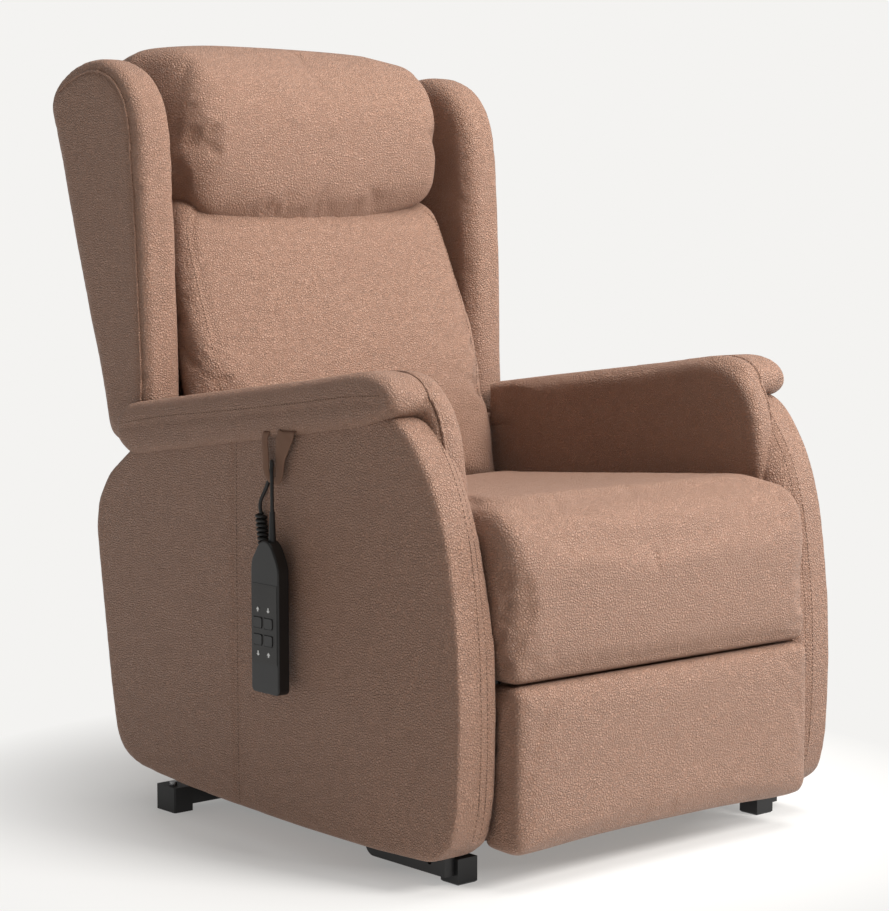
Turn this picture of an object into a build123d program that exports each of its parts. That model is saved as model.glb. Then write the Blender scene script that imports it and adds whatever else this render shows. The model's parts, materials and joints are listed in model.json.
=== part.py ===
"""Lift recliner armchair with wings, a drop-down footrest and a wired handset.

Sizes are in millimetres. The chair faces -Y, +X is the sitter's left, +Z is up and the floor is Z = 0.
Side outlines are lists of (y, z) points. Everything is drawn about the chair's centre plane X = 0 and
moved as one at the end, so that the origin is at the middle of the object's footprint on the floor.
"""

from build123d import *
import os
from math import atan2, cos, degrees, hypot, radians, sin, tan

# ---------------------------------------------------------------- overall sizes
SEAT_WIDTH = 526.0
SEAT_CLEARANCE = 9.0         # between the seat and each arm
ARM_THICKNESS = 78.0         # side panel, frame and inner padding together
SEAT_FRONT_Y = -412.0        # front of the seat roll
SEAT_FRONT_Z = 472.0         # top of the seat at its front
SEAT_BACK_Z = 438.0          # top of the seat where it meets the back
BACK_TOP_Z = 1066.0          # top of the head cushion
FLOOR_GAP = 9.0              # under the base tubes

# ---------------------------------------------------------------- clearances
FIT = 0.05                   # radial running clearance of a pin
GAP = 3.0                    # between plates that pass each other
SOFT_GAP = 1.0               # between upholstered pieces of one body

# ---------------------------------------------------------------- arms
PANEL_THICKNESS = 14.0       # outer side panel with its padding
ARM_FRAME_THICKNESS = 18.0
PANEL_REAR_Y = 374.0
ARM_CORE_REAR_Y = 240.0      # behind this the arm is only its outer panel
PAD_OVERHANG = 8.0           # arm pad beyond the side panel
PAD_INNER_OVERHANG = 8.0
PAD_REAR_Y = 318.0
PAD_REAR_CUT_Y = 243.0       # behind this the pad is a narrow outer strip
PAD_REAR_STRIP = 21.0
PAD_INNER_END_Y = 186.0      # the inner overhang stops in front of the back cushion

# ---------------------------------------------------------------- back
BACK_LEAN = radians(17.3)    # of the frame and the rear cover, from upright
REAR_FOOT_Y, REAR_FOOT_Z = 348.0, 508.0   # a point of the rear face
WING_CLEARANCE = 6.0         # between a wing and the side panel that it swings inside
WING_INNER_INSET = 2.0       # wing's inner face outside the arm's
WING_BOTTOM_Z = 508.0
WING_FRONT_Y = 266.0
WING_TOP_DROP = 24.0         # top of the wings below the head cushion's
UPRIGHT_TOP_DROP = 66.0      # top of the steel uprights below the head cushion's
REAR_COVER_TOP_DROP = 26.0
INNER_PANEL_TOP_DROP = 56.0
REAR_COVER_THICKNESS = 12.0
REAR_COVER_BOTTOM_Z = 330.0
BACK_TUBE = 25.0
BACK_CUSHION_TOP_Z = 838.0
INNER_BACK_THICKNESS = 12.0  # padded panel behind the cushions
HEAD_INSET = 36.0            # head cushion's end inside the wing

# ---------------------------------------------------------------- steel
TUBE = 25.0                  # square base and carriage tube
PLATE = 6.0                  # links, brackets and side plates
PIN_R = 6.0
COLLAR_R = 9.0
HEAD_R = 10.0
COLLAR = 2.1                 # thickness of a pin's retaining collar
BRACKET_INSET = 6.0          # link bracket from its base tube's inner face
BASE_REAR_Y = 205.0
BASE_FRONT_Y = -215.0
EYE_R = 16.0                 # round a lift link's pivot
LINK_HALF_WIDTH = 12.0
FOOT_LINK_R = 12.0           # round a footrest link's pivot
FOOT_PIN_R = 5.0

FOOT_PLATE = 5.0
ARM_TO_PLATE = 4.0           # between a carriage plate and the arm beside it

# planes across the chair, from the arms inward: distance of each piece's inner face from the centre
SEAT_HALF = SEAT_WIDTH / 2
ARM_INNER = SEAT_HALF + SEAT_CLEARANCE
ARM_OUTER = ARM_INNER + ARM_THICKNESS
PANEL_INNER = ARM_OUTER - PANEL_THICKNESS
FRAME_INNER = PANEL_INNER - ARM_FRAME_THICKNESS
CARRIAGE_PLATE_X = ARM_INNER - ARM_TO_PLATE - PLATE
FRONT_LINK_X = CARRIAGE_PLATE_X - 2 * PLATE
BRACKET_X = FRONT_LINK_X - GAP - PLATE
REAR_LINK_X = BRACKET_X - GAP - PLATE
FOOT_REAR_LINK_X = CARRIAGE_PLATE_X - GAP - FOOT_PLATE
FOOT_FRONT_LINK_X = FOOT_REAR_LINK_X - GAP - FOOT_PLATE
FOOT_BRACKET_X = FOOT_FRONT_LINK_X - GAP - FOOT_PLATE
BASE_TUBE_X = BRACKET_X - BRACKET_INSET
BACK_BRACKET_X = CARRIAGE_PLATE_X - 2.0 - PLATE
UPRIGHT_X = BACK_BRACKET_X - BACK_TUBE
WING_OUTER_X = PANEL_INNER - WING_CLEARANCE
WING_INNER_X = ARM_INNER + WING_INNER_INSET
BACK_HALF = WING_INNER_X - 4.0
HEAD_HALF = BACK_HALF - HEAD_INSET
TUBE_TOP = FLOOR_GAP + TUBE

# ---------------------------------------------------------------- pivots (y, z)
LIFT_PIVOT = (-176.8, 88.0)          # base to front lift link
LIFT_HEAD = (-20.0, 90.0)            # front lift link to carriage
REAR_PIVOT = (-60.0, 90.0)           # base to rear lift link
REAR_HEAD = (240.0, 90.0)            # rear lift link to carriage, the open pivot
REAR_HEAD_PLAY = 4.3
TORQUE_TUBE = (-154.9, 67.5)         # under the rod, 30 mm from the lift pivot
TORQUE_TUBE_R = 9.0
BACK_PIVOT = (210.0, 360.0)
FOOT_PIVOT_FRONT = (-319.6, 254.5)   # carriage to footrest front link
FOOT_PIVOT_REAR = (-329.1, 230.2)    # carriage to footrest rear link
FOOT_HEAD_FRONT = (-221.8, 244.4)    # front link to footrest bracket
FOOT_HEAD_REAR = (-185.3, 168.4)     # rear link to footrest bracket, the open pivot
FOOT_HEAD_PLAY = 4.6
LIFT_MOTOR_PIVOT = (110.6, 122.3)
LIFT_MOTOR_HEAD = (-158.4, 159.3)
LIFT_SLOT = (-155.0, 159.6)          # middle of the lever's slot
LIFT_SLOT_HALF = 9.0
LIFT_SLOT_ANGLE = 56.0
LIFT_SLOT_R = 9.8
RECLINE_MOTOR_PIVOT = (-30.0, 222.0)
RECLINE_MOTOR_HEAD = (275.0, 236.0)
RECLINE_HOLE = (275.7, 236.0)
RECLINE_HOLE_R = 12.0

# ---------------------------------------------------------------- actuators
LIFT_MOTOR_X = -60.0
RECLINE_MOTOR_X = 70.0
HOUSING_R = 18.0
ROD_R = 8.0
ROD_EYE_R = 14.0
EYE_WIDTH = 16.0
MOTOR_R = 28.0
MOTOR_OFFSET = 50.0
MOTOR_LENGTH = 120.0
LIFT_HOUSING = 178.0         # pivot to the mouth of the housing
RECLINE_HOUSING = 186.0
RECLINE_STROKE = 95.3        # how far the recline rod goes in as the back leans
ROD_CLEARANCE = 0.3

# ---------------------------------------------------------------- handset
# its places across the chair are distances out from the right side panel's outer face
HANDSET_OUT = 36.0           # its outer face
HANDSET_THICKNESS = 18.0
HANDSET_FRONT_Y, HANDSET_REAR_Y = -97.0, -39.0
HANDSET_BOTTOM_Z, HANDSET_SHOULDER_Z, HANDSET_TOP_Z = 213.0, 368.0, 408.0
HANDSET_SPLIT = 9.0          # thickness of the front shell
HANDSET_CORNER_R = 7.0       # bottom corners, seen from the side
HANDSET_EDGE_R = 2.2         # round the outer edges
BUTTON = (17.0, 13.0)        # along y and z
BUTTON_PITCH = (22.0, 22.0)
BUTTON_CENTRE = (-66.0, 293.0)
BUTTON_GAP = 0.4
BUTTON_PROUD = 1.6
BUTTON_POCKET = 5.0
CABLE_R = 2.5
COIL_R = 8.0
RELIEF_TOP = (25.0, -71.0, 446.0)
HOOK_R = 15.0                # the cable's turn through the strap
HOOK_LEGS = ((23.0, -68.0), (4.6, -44.0))   # (out, y) where it goes up and where it comes down
HOOK_TOP_Z = 509.0
COIL_ROUTE = [
    (9.0, -25.0, 440.0), (9.0, -29.5, 408.0), (9.0, -36.0, 376.0), (9.0, -45.0, 345.0),
    (9.0, -51.0, 314.0),
]
CABLE_UP = [RELIEF_TOP, (25.0, -71.0, 460.0), (24.2, -69.9, 474.0), (23.4, -68.8, 487.0)]
CABLE_DOWN = [(4.7, -38.5, 485.0), (5.8, -31.0, 469.0)]
TAIL_END = (3.5, -54.5, 292.8)
TAIL_LEAD = 12.0             # straight lead of the cable into and out of the coil
GLAND_R = 4.5
GLAND_LENGTH = 16.0
STRAP_OUT = 10.0             # the hanging strap's inner face
STRAP_THICKNESS = 2.0

PARTS = {}


# ================================================================ helpers
def outline_face(points):
    """Flat face in the Y-Z plane from (y, z) points."""
    return Plane.YZ * make_face(Polyline(*points, close=True))


def prism(face, x0, x1):
    """A side face in the Y-Z plane, carried from x0 to x1."""
    low, high = min(x0, x1), max(x0, x1)
    return Pos(low, 0, 0) * extrude(face, amount=high - low, dir=(1, 0, 0))


def bar_x(points, x0, x1):
    """Prism of (y, z) points between two X planes."""
    return prism(outline_face(points), x0, x1)


def block(x0, x1, y0, y1, z0, z1):
    """Box between pairs of limits, in any order."""
    size = (abs(x1 - x0), abs(y1 - y0), abs(z1 - z0))
    centre = ((x0 + x1) / 2, (y0 + y1) / 2, (z0 + z1) / 2)
    return Pos(*centre) * Box(*size)


def rod_x(pivot, radius, x0, x1):
    """Round bar along X through the point (y, z)."""
    centre = Pos((x0 + x1) / 2, pivot[0], pivot[1])
    return centre * Rot(Y=90) * Cylinder(radius, abs(x1 - x0))


def rod_z(x, y, radius, z0, z1):
    """Round bar along Z."""
    return Pos(x, y, (z0 + z1) / 2) * Cylinder(radius, abs(z1 - z0))


def strap(start, end, half_width, x0, x1):
    """Flat bar with round ends between two pivots."""
    turn = atan2(end[1] - start[1], end[0] - start[0])
    ny, nz = -sin(turn) * half_width, cos(turn) * half_width
    corners = [
        (start[0] + ny, start[1] + nz), (start[0] - ny, start[1] - nz),
        (end[0] - ny, end[1] - nz), (end[0] + ny, end[1] + nz),
    ]
    ends = rod_x(start, half_width, x0, x1) + rod_x(end, half_width, x0, x1)
    return bar_x(corners, x0, x1) + ends


def link(start, end, start_hole, end_hole, start_eye, end_eye, half_width, x0, x1):
    """Flat link with an eye and a hole at each pivot."""
    body = strap(start, end, half_width, x0, x1)
    body += rod_x(start, start_eye, x0, x1) + rod_x(end, end_eye, x0, x1)
    reach = 1.0
    low, high = min(x0, x1) - reach, max(x0, x1) + reach
    return body - rod_x(start, start_hole, low, high) - rod_x(end, end_hole, low, high)


def pin(pivot, radius, head_x, tail_x, head_r, collar_r, head=4.0, collar=COLLAR):
    """Headed pin along X, with a retaining collar at its tail."""
    way = 1.0 if tail_x > head_x else -1.0
    shank = rod_x(pivot, radius, head_x, tail_x)
    shank += rod_x(pivot, head_r, head_x, head_x + way * head)
    return shank + rod_x(pivot, collar_r, tail_x - way * collar, tail_x)


def both(make):
    """One piece made for each side, as a pair."""
    return [make(1.0), make(-1.0)]


def tube_path(points, radius, shortest, share=0.45):
    """Round cord through the points: straight runs with an arc at every corner."""
    vectors = [p if isinstance(p, Vector) else Vector(*p) for p in points]
    radii = []
    for before, here, after in zip(vectors, vectors[1:], vectors[2:]):
        run = min((here - before).length, (after - here).length)
        turn = radians((here - before).get_angle(after - here))
        radii.append(share * run / tan(turn / 2))
    print("cord radii", [round(r, 1) for r in radii], "smallest allowed", shortest)
    path = FilletPolyline(*vectors, radius=radii) if radii else Line(*vectors)
    wire = path if isinstance(path, Wire) else Wire(path.edges())
    start = Plane(origin=vectors[0], z_dir=wire % 0)
    solid = sweep(start * Circle(radius), path=wire)
    print("cord length", round(wire.length, 1), "volume share",
          round(solid.volume / (wire.length * 3.14159265 * radius**2), 4))
    return solid


def add(name, *solids):
    """Store one node made of one or more separate solids."""
    kept = []
    for item in solids:
        kept.extend(item.solids() if hasattr(item, "solids") else [item])
    PARTS[name] = kept


def rear_y(z):
    """Y of the back's rear face at a height."""
    return REAR_FOOT_Y + tan(BACK_LEAN) * (z - REAR_FOOT_Z)


# ================================================================ base frame
def base_frame():
    """Floor frame of square tube, with its runners, feet and link brackets."""
    outer = BASE_TUBE_X + TUBE
    add("base_side_tubes", *both(lambda s: block(
        s * BASE_TUBE_X, s * outer, BASE_FRONT_Y + TUBE, BASE_REAR_Y, FLOOR_GAP, TUBE_TOP)))
    runner_in = ARM_INNER + 18.0
    runner_out = runner_in + 16.0
    foot_in = ARM_OUTER - 39.0
    foot_out = foot_in + 30.0
    add("base_cross_tubes",
        block(-runner_in, runner_in, BASE_FRONT_Y, BASE_FRONT_Y + TUBE, FLOOR_GAP, TUBE_TOP),
        block(-foot_in, foot_in, BASE_REAR_Y, BASE_REAR_Y + TUBE, FLOOR_GAP, TUBE_TOP))

    runner_front, runner_rear = -326.0, -171.0
    runner_bottom, runner_top = 12.0, 37.0

    def runner(s):
        bar = block(s * runner_in, s * runner_out, runner_front, runner_rear, runner_bottom,
                    runner_top)
        corner = bar.edges().filter_by(Axis.X).group_by(Axis.Y)[-1].sort_by(Axis.Z)[0]
        bar = fillet(corner, 17.0)
        return bar - rod_x((-297.0, 27.0), 4.0, s * (runner_in - 1), s * (runner_out + 1))

    add("front_runners", *both(runner))

    front_foot = 32.0
    foot_front, foot_top = -332.0, 33.0
    screw_r, screw_length, screw_head_r, screw_head = 3.95, 22.0, 5.5, 5.0
    hole_r = screw_r + FIT

    def front_foot_block(s):
        body = block(s * (runner_in - front_foot), s * runner_in, foot_front,
                     foot_front + front_foot, 0, foot_top)
        bottom = body.edges().filter_by(Plane.XY).group_by(Axis.Z)[0]
        body = chamfer(bottom, 2.0)
        return body - rod_z(s * (runner_in - front_foot / 2), foot_front + front_foot / 2, hole_r,
                            foot_top - screw_length, foot_top + 1)

    rear_foot_y, rear_foot_depth, rear_foot_top = 203.0, 45.0, 35.0
    screw_x, screw_y = foot_in + 17.0, rear_foot_y + 22.0

    def rear_foot_block(s):
        body = block(s * foot_in, s * foot_out, rear_foot_y, rear_foot_y + rear_foot_depth,
                     0, rear_foot_top)
        body = chamfer(body.edges().filter_by(Axis.Z).group_by(Axis.X)[0 if s < 0 else -1], 2.0)
        return body - rod_z(s * screw_x, screw_y, hole_r, rear_foot_top - screw_length,
                            rear_foot_top + 1)

    def screw(x, y, top):
        shank = rod_z(x, y, screw_r, top - screw_length + 1, top)
        return shank + rod_z(x, y, screw_head_r, top, top + screw_head)

    add("front_feet", *both(front_foot_block))
    add("rear_feet", *both(rear_foot_block))
    add("foot_screws",
        *both(lambda s: screw(s * screw_x, screw_y, rear_foot_top)),
        *both(lambda s: screw(s * (runner_in - front_foot / 2), foot_front + front_foot / 2,
                              foot_top)))

    def bracket(pivot, s, rear_reach):
        x0, x1 = s * BRACKET_X, s * (BRACKET_X + PLATE)
        foot_front, foot_rear = pivot[0] - 28.0, pivot[0] + rear_reach
        plate = bar_x([(foot_front, TUBE_TOP), (foot_rear, TUBE_TOP),
                       (pivot[0] + EYE_R - 2, pivot[1] - 6), (pivot[0], pivot[1]),
                       (pivot[0] - EYE_R + 1, pivot[1])], x0, x1)
        plate += rod_x(pivot, EYE_R, x0, x1)
        return plate - rod_x(pivot, PIN_R + FIT, s * (BRACKET_X - 1), s * (BRACKET_X + PLATE + 1))

    add("base_link_brackets",
        *both(lambda s: bracket(LIFT_PIVOT, s, -2.0)), *both(lambda s: bracket(REAR_PIVOT, s, 28.0)))

    def front_pin(s):
        return pin(LIFT_PIVOT, PIN_R, s * (BRACKET_X - 4), s * (FRONT_LINK_X + PLATE + 2.4),
                   HEAD_R, COLLAR_R)

    def rear_pin(s):
        return pin(REAR_PIVOT, PIN_R, s * (BRACKET_X + PLATE + 1.5), s * (REAR_LINK_X - 2.4),
                   COLLAR_R, COLLAR_R, head=1.5)

    add("base_pivot_pins", *both(front_pin), *both(rear_pin))

    # clevis that carries the lift actuator, standing on the rear tube
    y, z = LIFT_MOTOR_PIVOT
    ear = 5.0
    inner = EYE_WIDTH / 2 + 0.5
    web = 6.0
    rear = BASE_REAR_Y + TUBE
    shape = [(BASE_REAR_Y, TUBE_TOP), (rear, TUBE_TOP), (rear, TUBE_TOP + 20), (y + 12, z + 14),
             (y - 14, z + 4), (y - 10, z - 14)]
    clevis = block(LIFT_MOTOR_X - inner - ear, LIFT_MOTOR_X + inner + ear, BASE_REAR_Y, rear,
                   TUBE_TOP, TUBE_TOP + web)
    for s in (1.0, -1.0):
        x0, x1 = LIFT_MOTOR_X + s * inner, LIFT_MOTOR_X + s * (inner + ear)
        clevis += bar_x(shape, x0, x1) + rod_x(LIFT_MOTOR_PIVOT, 14.0, x0, x1)
    clevis += rod_x(LIFT_MOTOR_PIVOT, PIN_R, LIFT_MOTOR_X - inner - 1, LIFT_MOTOR_X + inner + 1)
    add("lift_actuator_clevis", clevis)


# ================================================================ lift links
def lift_links():
    """Front links joined by the torque tube and its lever, and the rear links."""
    near, far = FRONT_LINK_X, FRONT_LINK_X + PLATE
    add("front_lift_links", *both(lambda s: link(
        LIFT_PIVOT, LIFT_HEAD, PIN_R + FIT, PIN_R + FIT, EYE_R, EYE_R, LINK_HALF_WIDTH,
        s * near, s * far)))
    add("torque_tube", rod_x(TORQUE_TUBE, TORQUE_TUBE_R, -near, near))
    cheek = 5.0
    inner = EYE_WIDTH / 2 + 1.0
    slot_r = LIFT_SLOT_R
    turn = radians(LIFT_SLOT_ANGLE)
    ends = [(LIFT_SLOT[0] + k * LIFT_SLOT_HALF * cos(turn),
             LIFT_SLOT[1] + k * LIFT_SLOT_HALF * sin(turn)) for k in (-1, 1)]
    levers = []
    for s in (1.0, -1.0):
        x0, x1 = LIFT_MOTOR_X + s * inner, LIFT_MOTOR_X + s * (inner + cheek)
        plate = strap(TORQUE_TUBE, ends[0], slot_r + 5, x0, x1)
        plate += strap(ends[0], ends[1], slot_r + 7, x0, x1)
        plate += rod_x(TORQUE_TUBE, TORQUE_TUBE_R + 6, x0, x1)
        plate -= rod_x(TORQUE_TUBE, TORQUE_TUBE_R, x0 - s, x1 + s)
        plate -= strap(ends[0], ends[1], slot_r, x0 - s, x1 + s)
        levers.append(plate)
    add("torque_tube_levers", *levers)

    near, far = REAR_LINK_X, REAR_LINK_X + PLATE
    add("rear_lift_links", *both(lambda s: link(
        REAR_PIVOT, REAR_HEAD, PIN_R + FIT, PIN_R + REAR_HEAD_PLAY, EYE_R,
        PIN_R + REAR_HEAD_PLAY + 7, LINK_HALF_WIDTH, s * near, s * far)))


# ================================================================ actuators
def actuator(pivot, head, x, motor_side, housing_end):
    """Electric linear actuator from its pivot to its head, drawn along +Y and turned."""
    length = hypot(head[0] - pivot[0], head[1] - pivot[1])
    turn = degrees(atan2(head[1] - pivot[1], head[0] - pivot[0]))
    place = Pos(x, pivot[0], pivot[1]) * Rot(X=turn)
    gear_start, gear_end = 20.0, 62.0
    gear_half = HOUSING_R + 5

    housing = rod_x((0, 0), ROD_EYE_R, -EYE_WIDTH / 2, EYE_WIDTH / 2)
    housing += block(-EYE_WIDTH / 2, EYE_WIDTH / 2, 0, gear_start, -ROD_EYE_R, ROD_EYE_R)
    gear_x = sorted((-gear_half * motor_side, (MOTOR_OFFSET + MOTOR_R) * motor_side))
    gearbox = block(gear_x[0], gear_x[1], gear_start, gear_end, -gear_half, gear_half)
    housing += fillet(gearbox.edges().filter_by(Axis.Y), 8.0)
    tube_length = housing_end - gear_end
    housing += Pos(0, gear_end + tube_length / 2, 0) * Rot(X=90) * Cylinder(HOUSING_R, tube_length)
    housing -= rod_x((0, 0), PIN_R + FIT, -EYE_WIDTH, EYE_WIDTH)
    bore_start = gear_end + 4
    bore_length = housing_end - bore_start + 1
    housing -= Pos(0, bore_start + bore_length / 2, 0) * Rot(X=90) * Cylinder(
        ROD_R + ROD_CLEARANCE, bore_length)

    motor_y = gear_end + MOTOR_LENGTH / 2
    motor = Pos(MOTOR_OFFSET * motor_side, motor_y, 0) * Rot(X=90) * Cylinder(MOTOR_R, MOTOR_LENGTH)
    motor = fillet(motor.edges().filter_by(GeomType.CIRCLE), 3.0)

    return place, length, housing, motor, bore_start


def actuators():
    """The lift actuator and the back's recline actuator, each a housing, a motor and a rod."""
    makes = (
        ("lift", LIFT_MOTOR_PIVOT, LIFT_MOTOR_HEAD, LIFT_MOTOR_X, 1.0, LIFT_HOUSING, 0.0),
        ("recline", RECLINE_MOTOR_PIVOT, RECLINE_MOTOR_HEAD, RECLINE_MOTOR_X, -1.0,
         RECLINE_HOUSING, RECLINE_STROKE),
    )
    for name, pivot, head, x, motor_side, housing_end, stroke in makes:
        place, length, housing, motor, bore_start = actuator(
            pivot, head, x, motor_side, housing_end)
        add(f"{name}_actuator_housing", place * housing, place * motor)
        rod_start = bore_start + 2 + stroke
        rod_length = length - rod_start
        rod = Pos(0, rod_start + rod_length / 2, 0) * Rot(X=90) * Cylinder(ROD_R, rod_length)
        rod += rod_x((length, 0), ROD_EYE_R, -EYE_WIDTH / 2, EYE_WIDTH / 2)
        pin_half = EYE_WIDTH / 2 + 8.0
        rod += rod_x((length, 0), PIN_R, -pin_half, pin_half)
        add(f"{name}_actuator_rod", place * rod)


# ================================================================ carriage
def carriage_frame():
    """Side plates, cross tubes, pins, seat board and power box of the moving seat unit."""
    x0, x1 = CARRIAGE_PLATE_X, CARRIAGE_PLATE_X + PLATE
    bottom, top = 72.0, 272.0
    waist = 132.0
    shape = [
        (-344, 215), (-344, top), (190, top), (192, 372), (228, 372), (246, 262), (262, 200),
        (262, bottom), (218, bottom), (196, waist), (24, waist), (0, bottom), (-40, bottom),
        (-64, waist), (-290, 205),
    ]
    boss_r = 12.0
    bosses = [(-250.0, 240.0), (140.0, 235.0)]

    def side_plate(s):
        plate = bar_x(shape, s * x0, s * x1)
        for boss in bosses:
            plate += rod_x(boss, boss_r, s * x1, s * ARM_INNER)
        for hole, radius in ((LIFT_HEAD, PIN_R), (REAR_HEAD, PIN_R), (BACK_PIVOT, PIN_R),
                             (FOOT_PIVOT_FRONT, FOOT_PIN_R), (FOOT_PIVOT_REAR, FOOT_PIN_R)):
            plate -= rod_x(hole, radius + FIT, s * (x0 - 1), s * (x1 + 1))
        return plate

    add("carriage_plates", *both(side_plate))

    front_y, front_z = -115.0, 225.0
    rear_tube_y, rear_tube_z = 228.0, 150.0
    add("carriage_cross_tubes",
        block(-x0, x0, front_y, front_y + TUBE, front_z, front_z + TUBE),
        block(-x0, x0, rear_tube_y, rear_tube_y + TUBE, rear_tube_z, rear_tube_z + TUBE))

    head_x = x1 + 2.6

    def lift_pin(s):
        return pin(LIFT_HEAD, PIN_R, s * head_x, s * (FRONT_LINK_X - 2.4), HEAD_R, COLLAR_R,
                   head=2.5)

    def rear_pin(s):
        return pin(REAR_HEAD, PIN_R, s * head_x, s * (REAR_LINK_X - 2.6), HEAD_R,
                   PIN_R + REAR_HEAD_PLAY + 5, head=2.5)

    def back_pin(s):
        return pin(BACK_PIVOT, PIN_R, s * head_x, s * (BACK_BRACKET_X - 2.4), HEAD_R, COLLAR_R,
                   head=2.5)

    def foot_front_pin(s):
        return pin(FOOT_PIVOT_FRONT, FOOT_PIN_R, s * head_x, s * (FOOT_FRONT_LINK_X - 2.3),
                   COLLAR_R, COLLAR_R - 1, head=2.5, collar=2.0)

    def foot_rear_pin(s):
        return pin(FOOT_PIVOT_REAR, FOOT_PIN_R, s * head_x, s * (FOOT_REAR_LINK_X - 2.3),
                   COLLAR_R, COLLAR_R - 1, head=2.5, collar=2.0)

    add("carriage_pivot_pins", *both(lift_pin), *both(rear_pin), *both(back_pin),
        *both(foot_front_pin), *both(foot_rear_pin))

    board_bottom, board = 262.0, 12.0
    add("seat_board", block(-x0, x0, -290, 160, board_bottom, board_bottom + board))

    # clevis under the front tube for the recline actuator
    y, z = RECLINE_MOTOR_PIVOT
    inner, ear = EYE_WIDTH / 2 + 0.5, 5.0
    tube_back = front_y + TUBE
    clevis = block(RECLINE_MOTOR_X - inner - ear, RECLINE_MOTOR_X + inner + ear, tube_back,
                   tube_back + 6, front_z, front_z + TUBE)
    shape = [(tube_back, front_z), (tube_back, front_z + TUBE), (y, z + 12), (y, z - 12)]
    for s in (1.0, -1.0):
        ex0, ex1 = RECLINE_MOTOR_X + s * inner, RECLINE_MOTOR_X + s * (inner + ear)
        clevis += bar_x(shape, ex0, ex1) + rod_x(RECLINE_MOTOR_PIVOT, 12.0, ex0, ex1)
    clevis += rod_x(RECLINE_MOTOR_PIVOT, PIN_R, RECLINE_MOTOR_X - inner - 1,
                    RECLINE_MOTOR_X + inner + 1)
    add("recline_actuator_clevis", clevis)

    box_x, box_y, box_z = (128.0, 206.0), (-60.0, 80.0), (208.0, board_bottom)
    power_box = block(*box_x, *box_y, *box_z)
    power_box = fillet(power_box.edges().filter_by(Axis.Z), 6.0)
    inlet = block(150.0, 180.0, box_y[1] - 12, box_y[1] + 4, 222.0, 244.0)
    recess = block(150.0 - FIT, 180.0 + FIT, box_y[1] - 12 - FIT, box_y[1] + 5, 222.0 - FIT,
                   244.0 + FIT)
    add("power_box", power_box - recess)
    socket = inlet - block(154.0, 176.0, box_y[1] - 8, box_y[1] + 5, 226.0, 240.0)
    add("mains_inlet", socket)


# ================================================================ arms
def panel_face():
    """Side panel outline: straight sloping top, bowed front, nearly straight base, leaning rear."""
    top_rear, top_front = (283.0, 504.0), (-256.0, 579.0)
    rear_corner = (PANEL_REAR_Y, 400.0)
    line = Polyline(top_rear, top_front)
    front = Spline(top_front, (-302.0, 549.0), (-348.0, 480.0), (-371.0, 388.0), (-383.0, 295.0),
                   (-387.0, 220.0), (-384.0, 140.0), (-374.0, 70.0))
    nose = Spline(front @ 1, (-352.0, 44.0), (-300.0, 43.0), tangents=[front % 1, (1, 0)])
    base = ThreePointArc(nose @ 1, (0.0, 45.0), (262.0, 61.0))
    heel = ThreePointArc(base @ 1, (303.0, 71.0), (322.0, 96.0))
    rear = ThreePointArc(heel @ 1, (352.0, 254.0), (373.0, 366.0))
    shoulder = ThreePointArc(rear @ 1, (375.0, 385.0), rear_corner)
    close = ThreePointArc(rear_corner, (339.0, 464.0), top_rear)
    edges = [line, front, nose, base, heel, rear, shoulder, close]
    return Plane.YZ * make_face(Wire([e for piece in edges for e in piece.edges()]))


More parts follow.
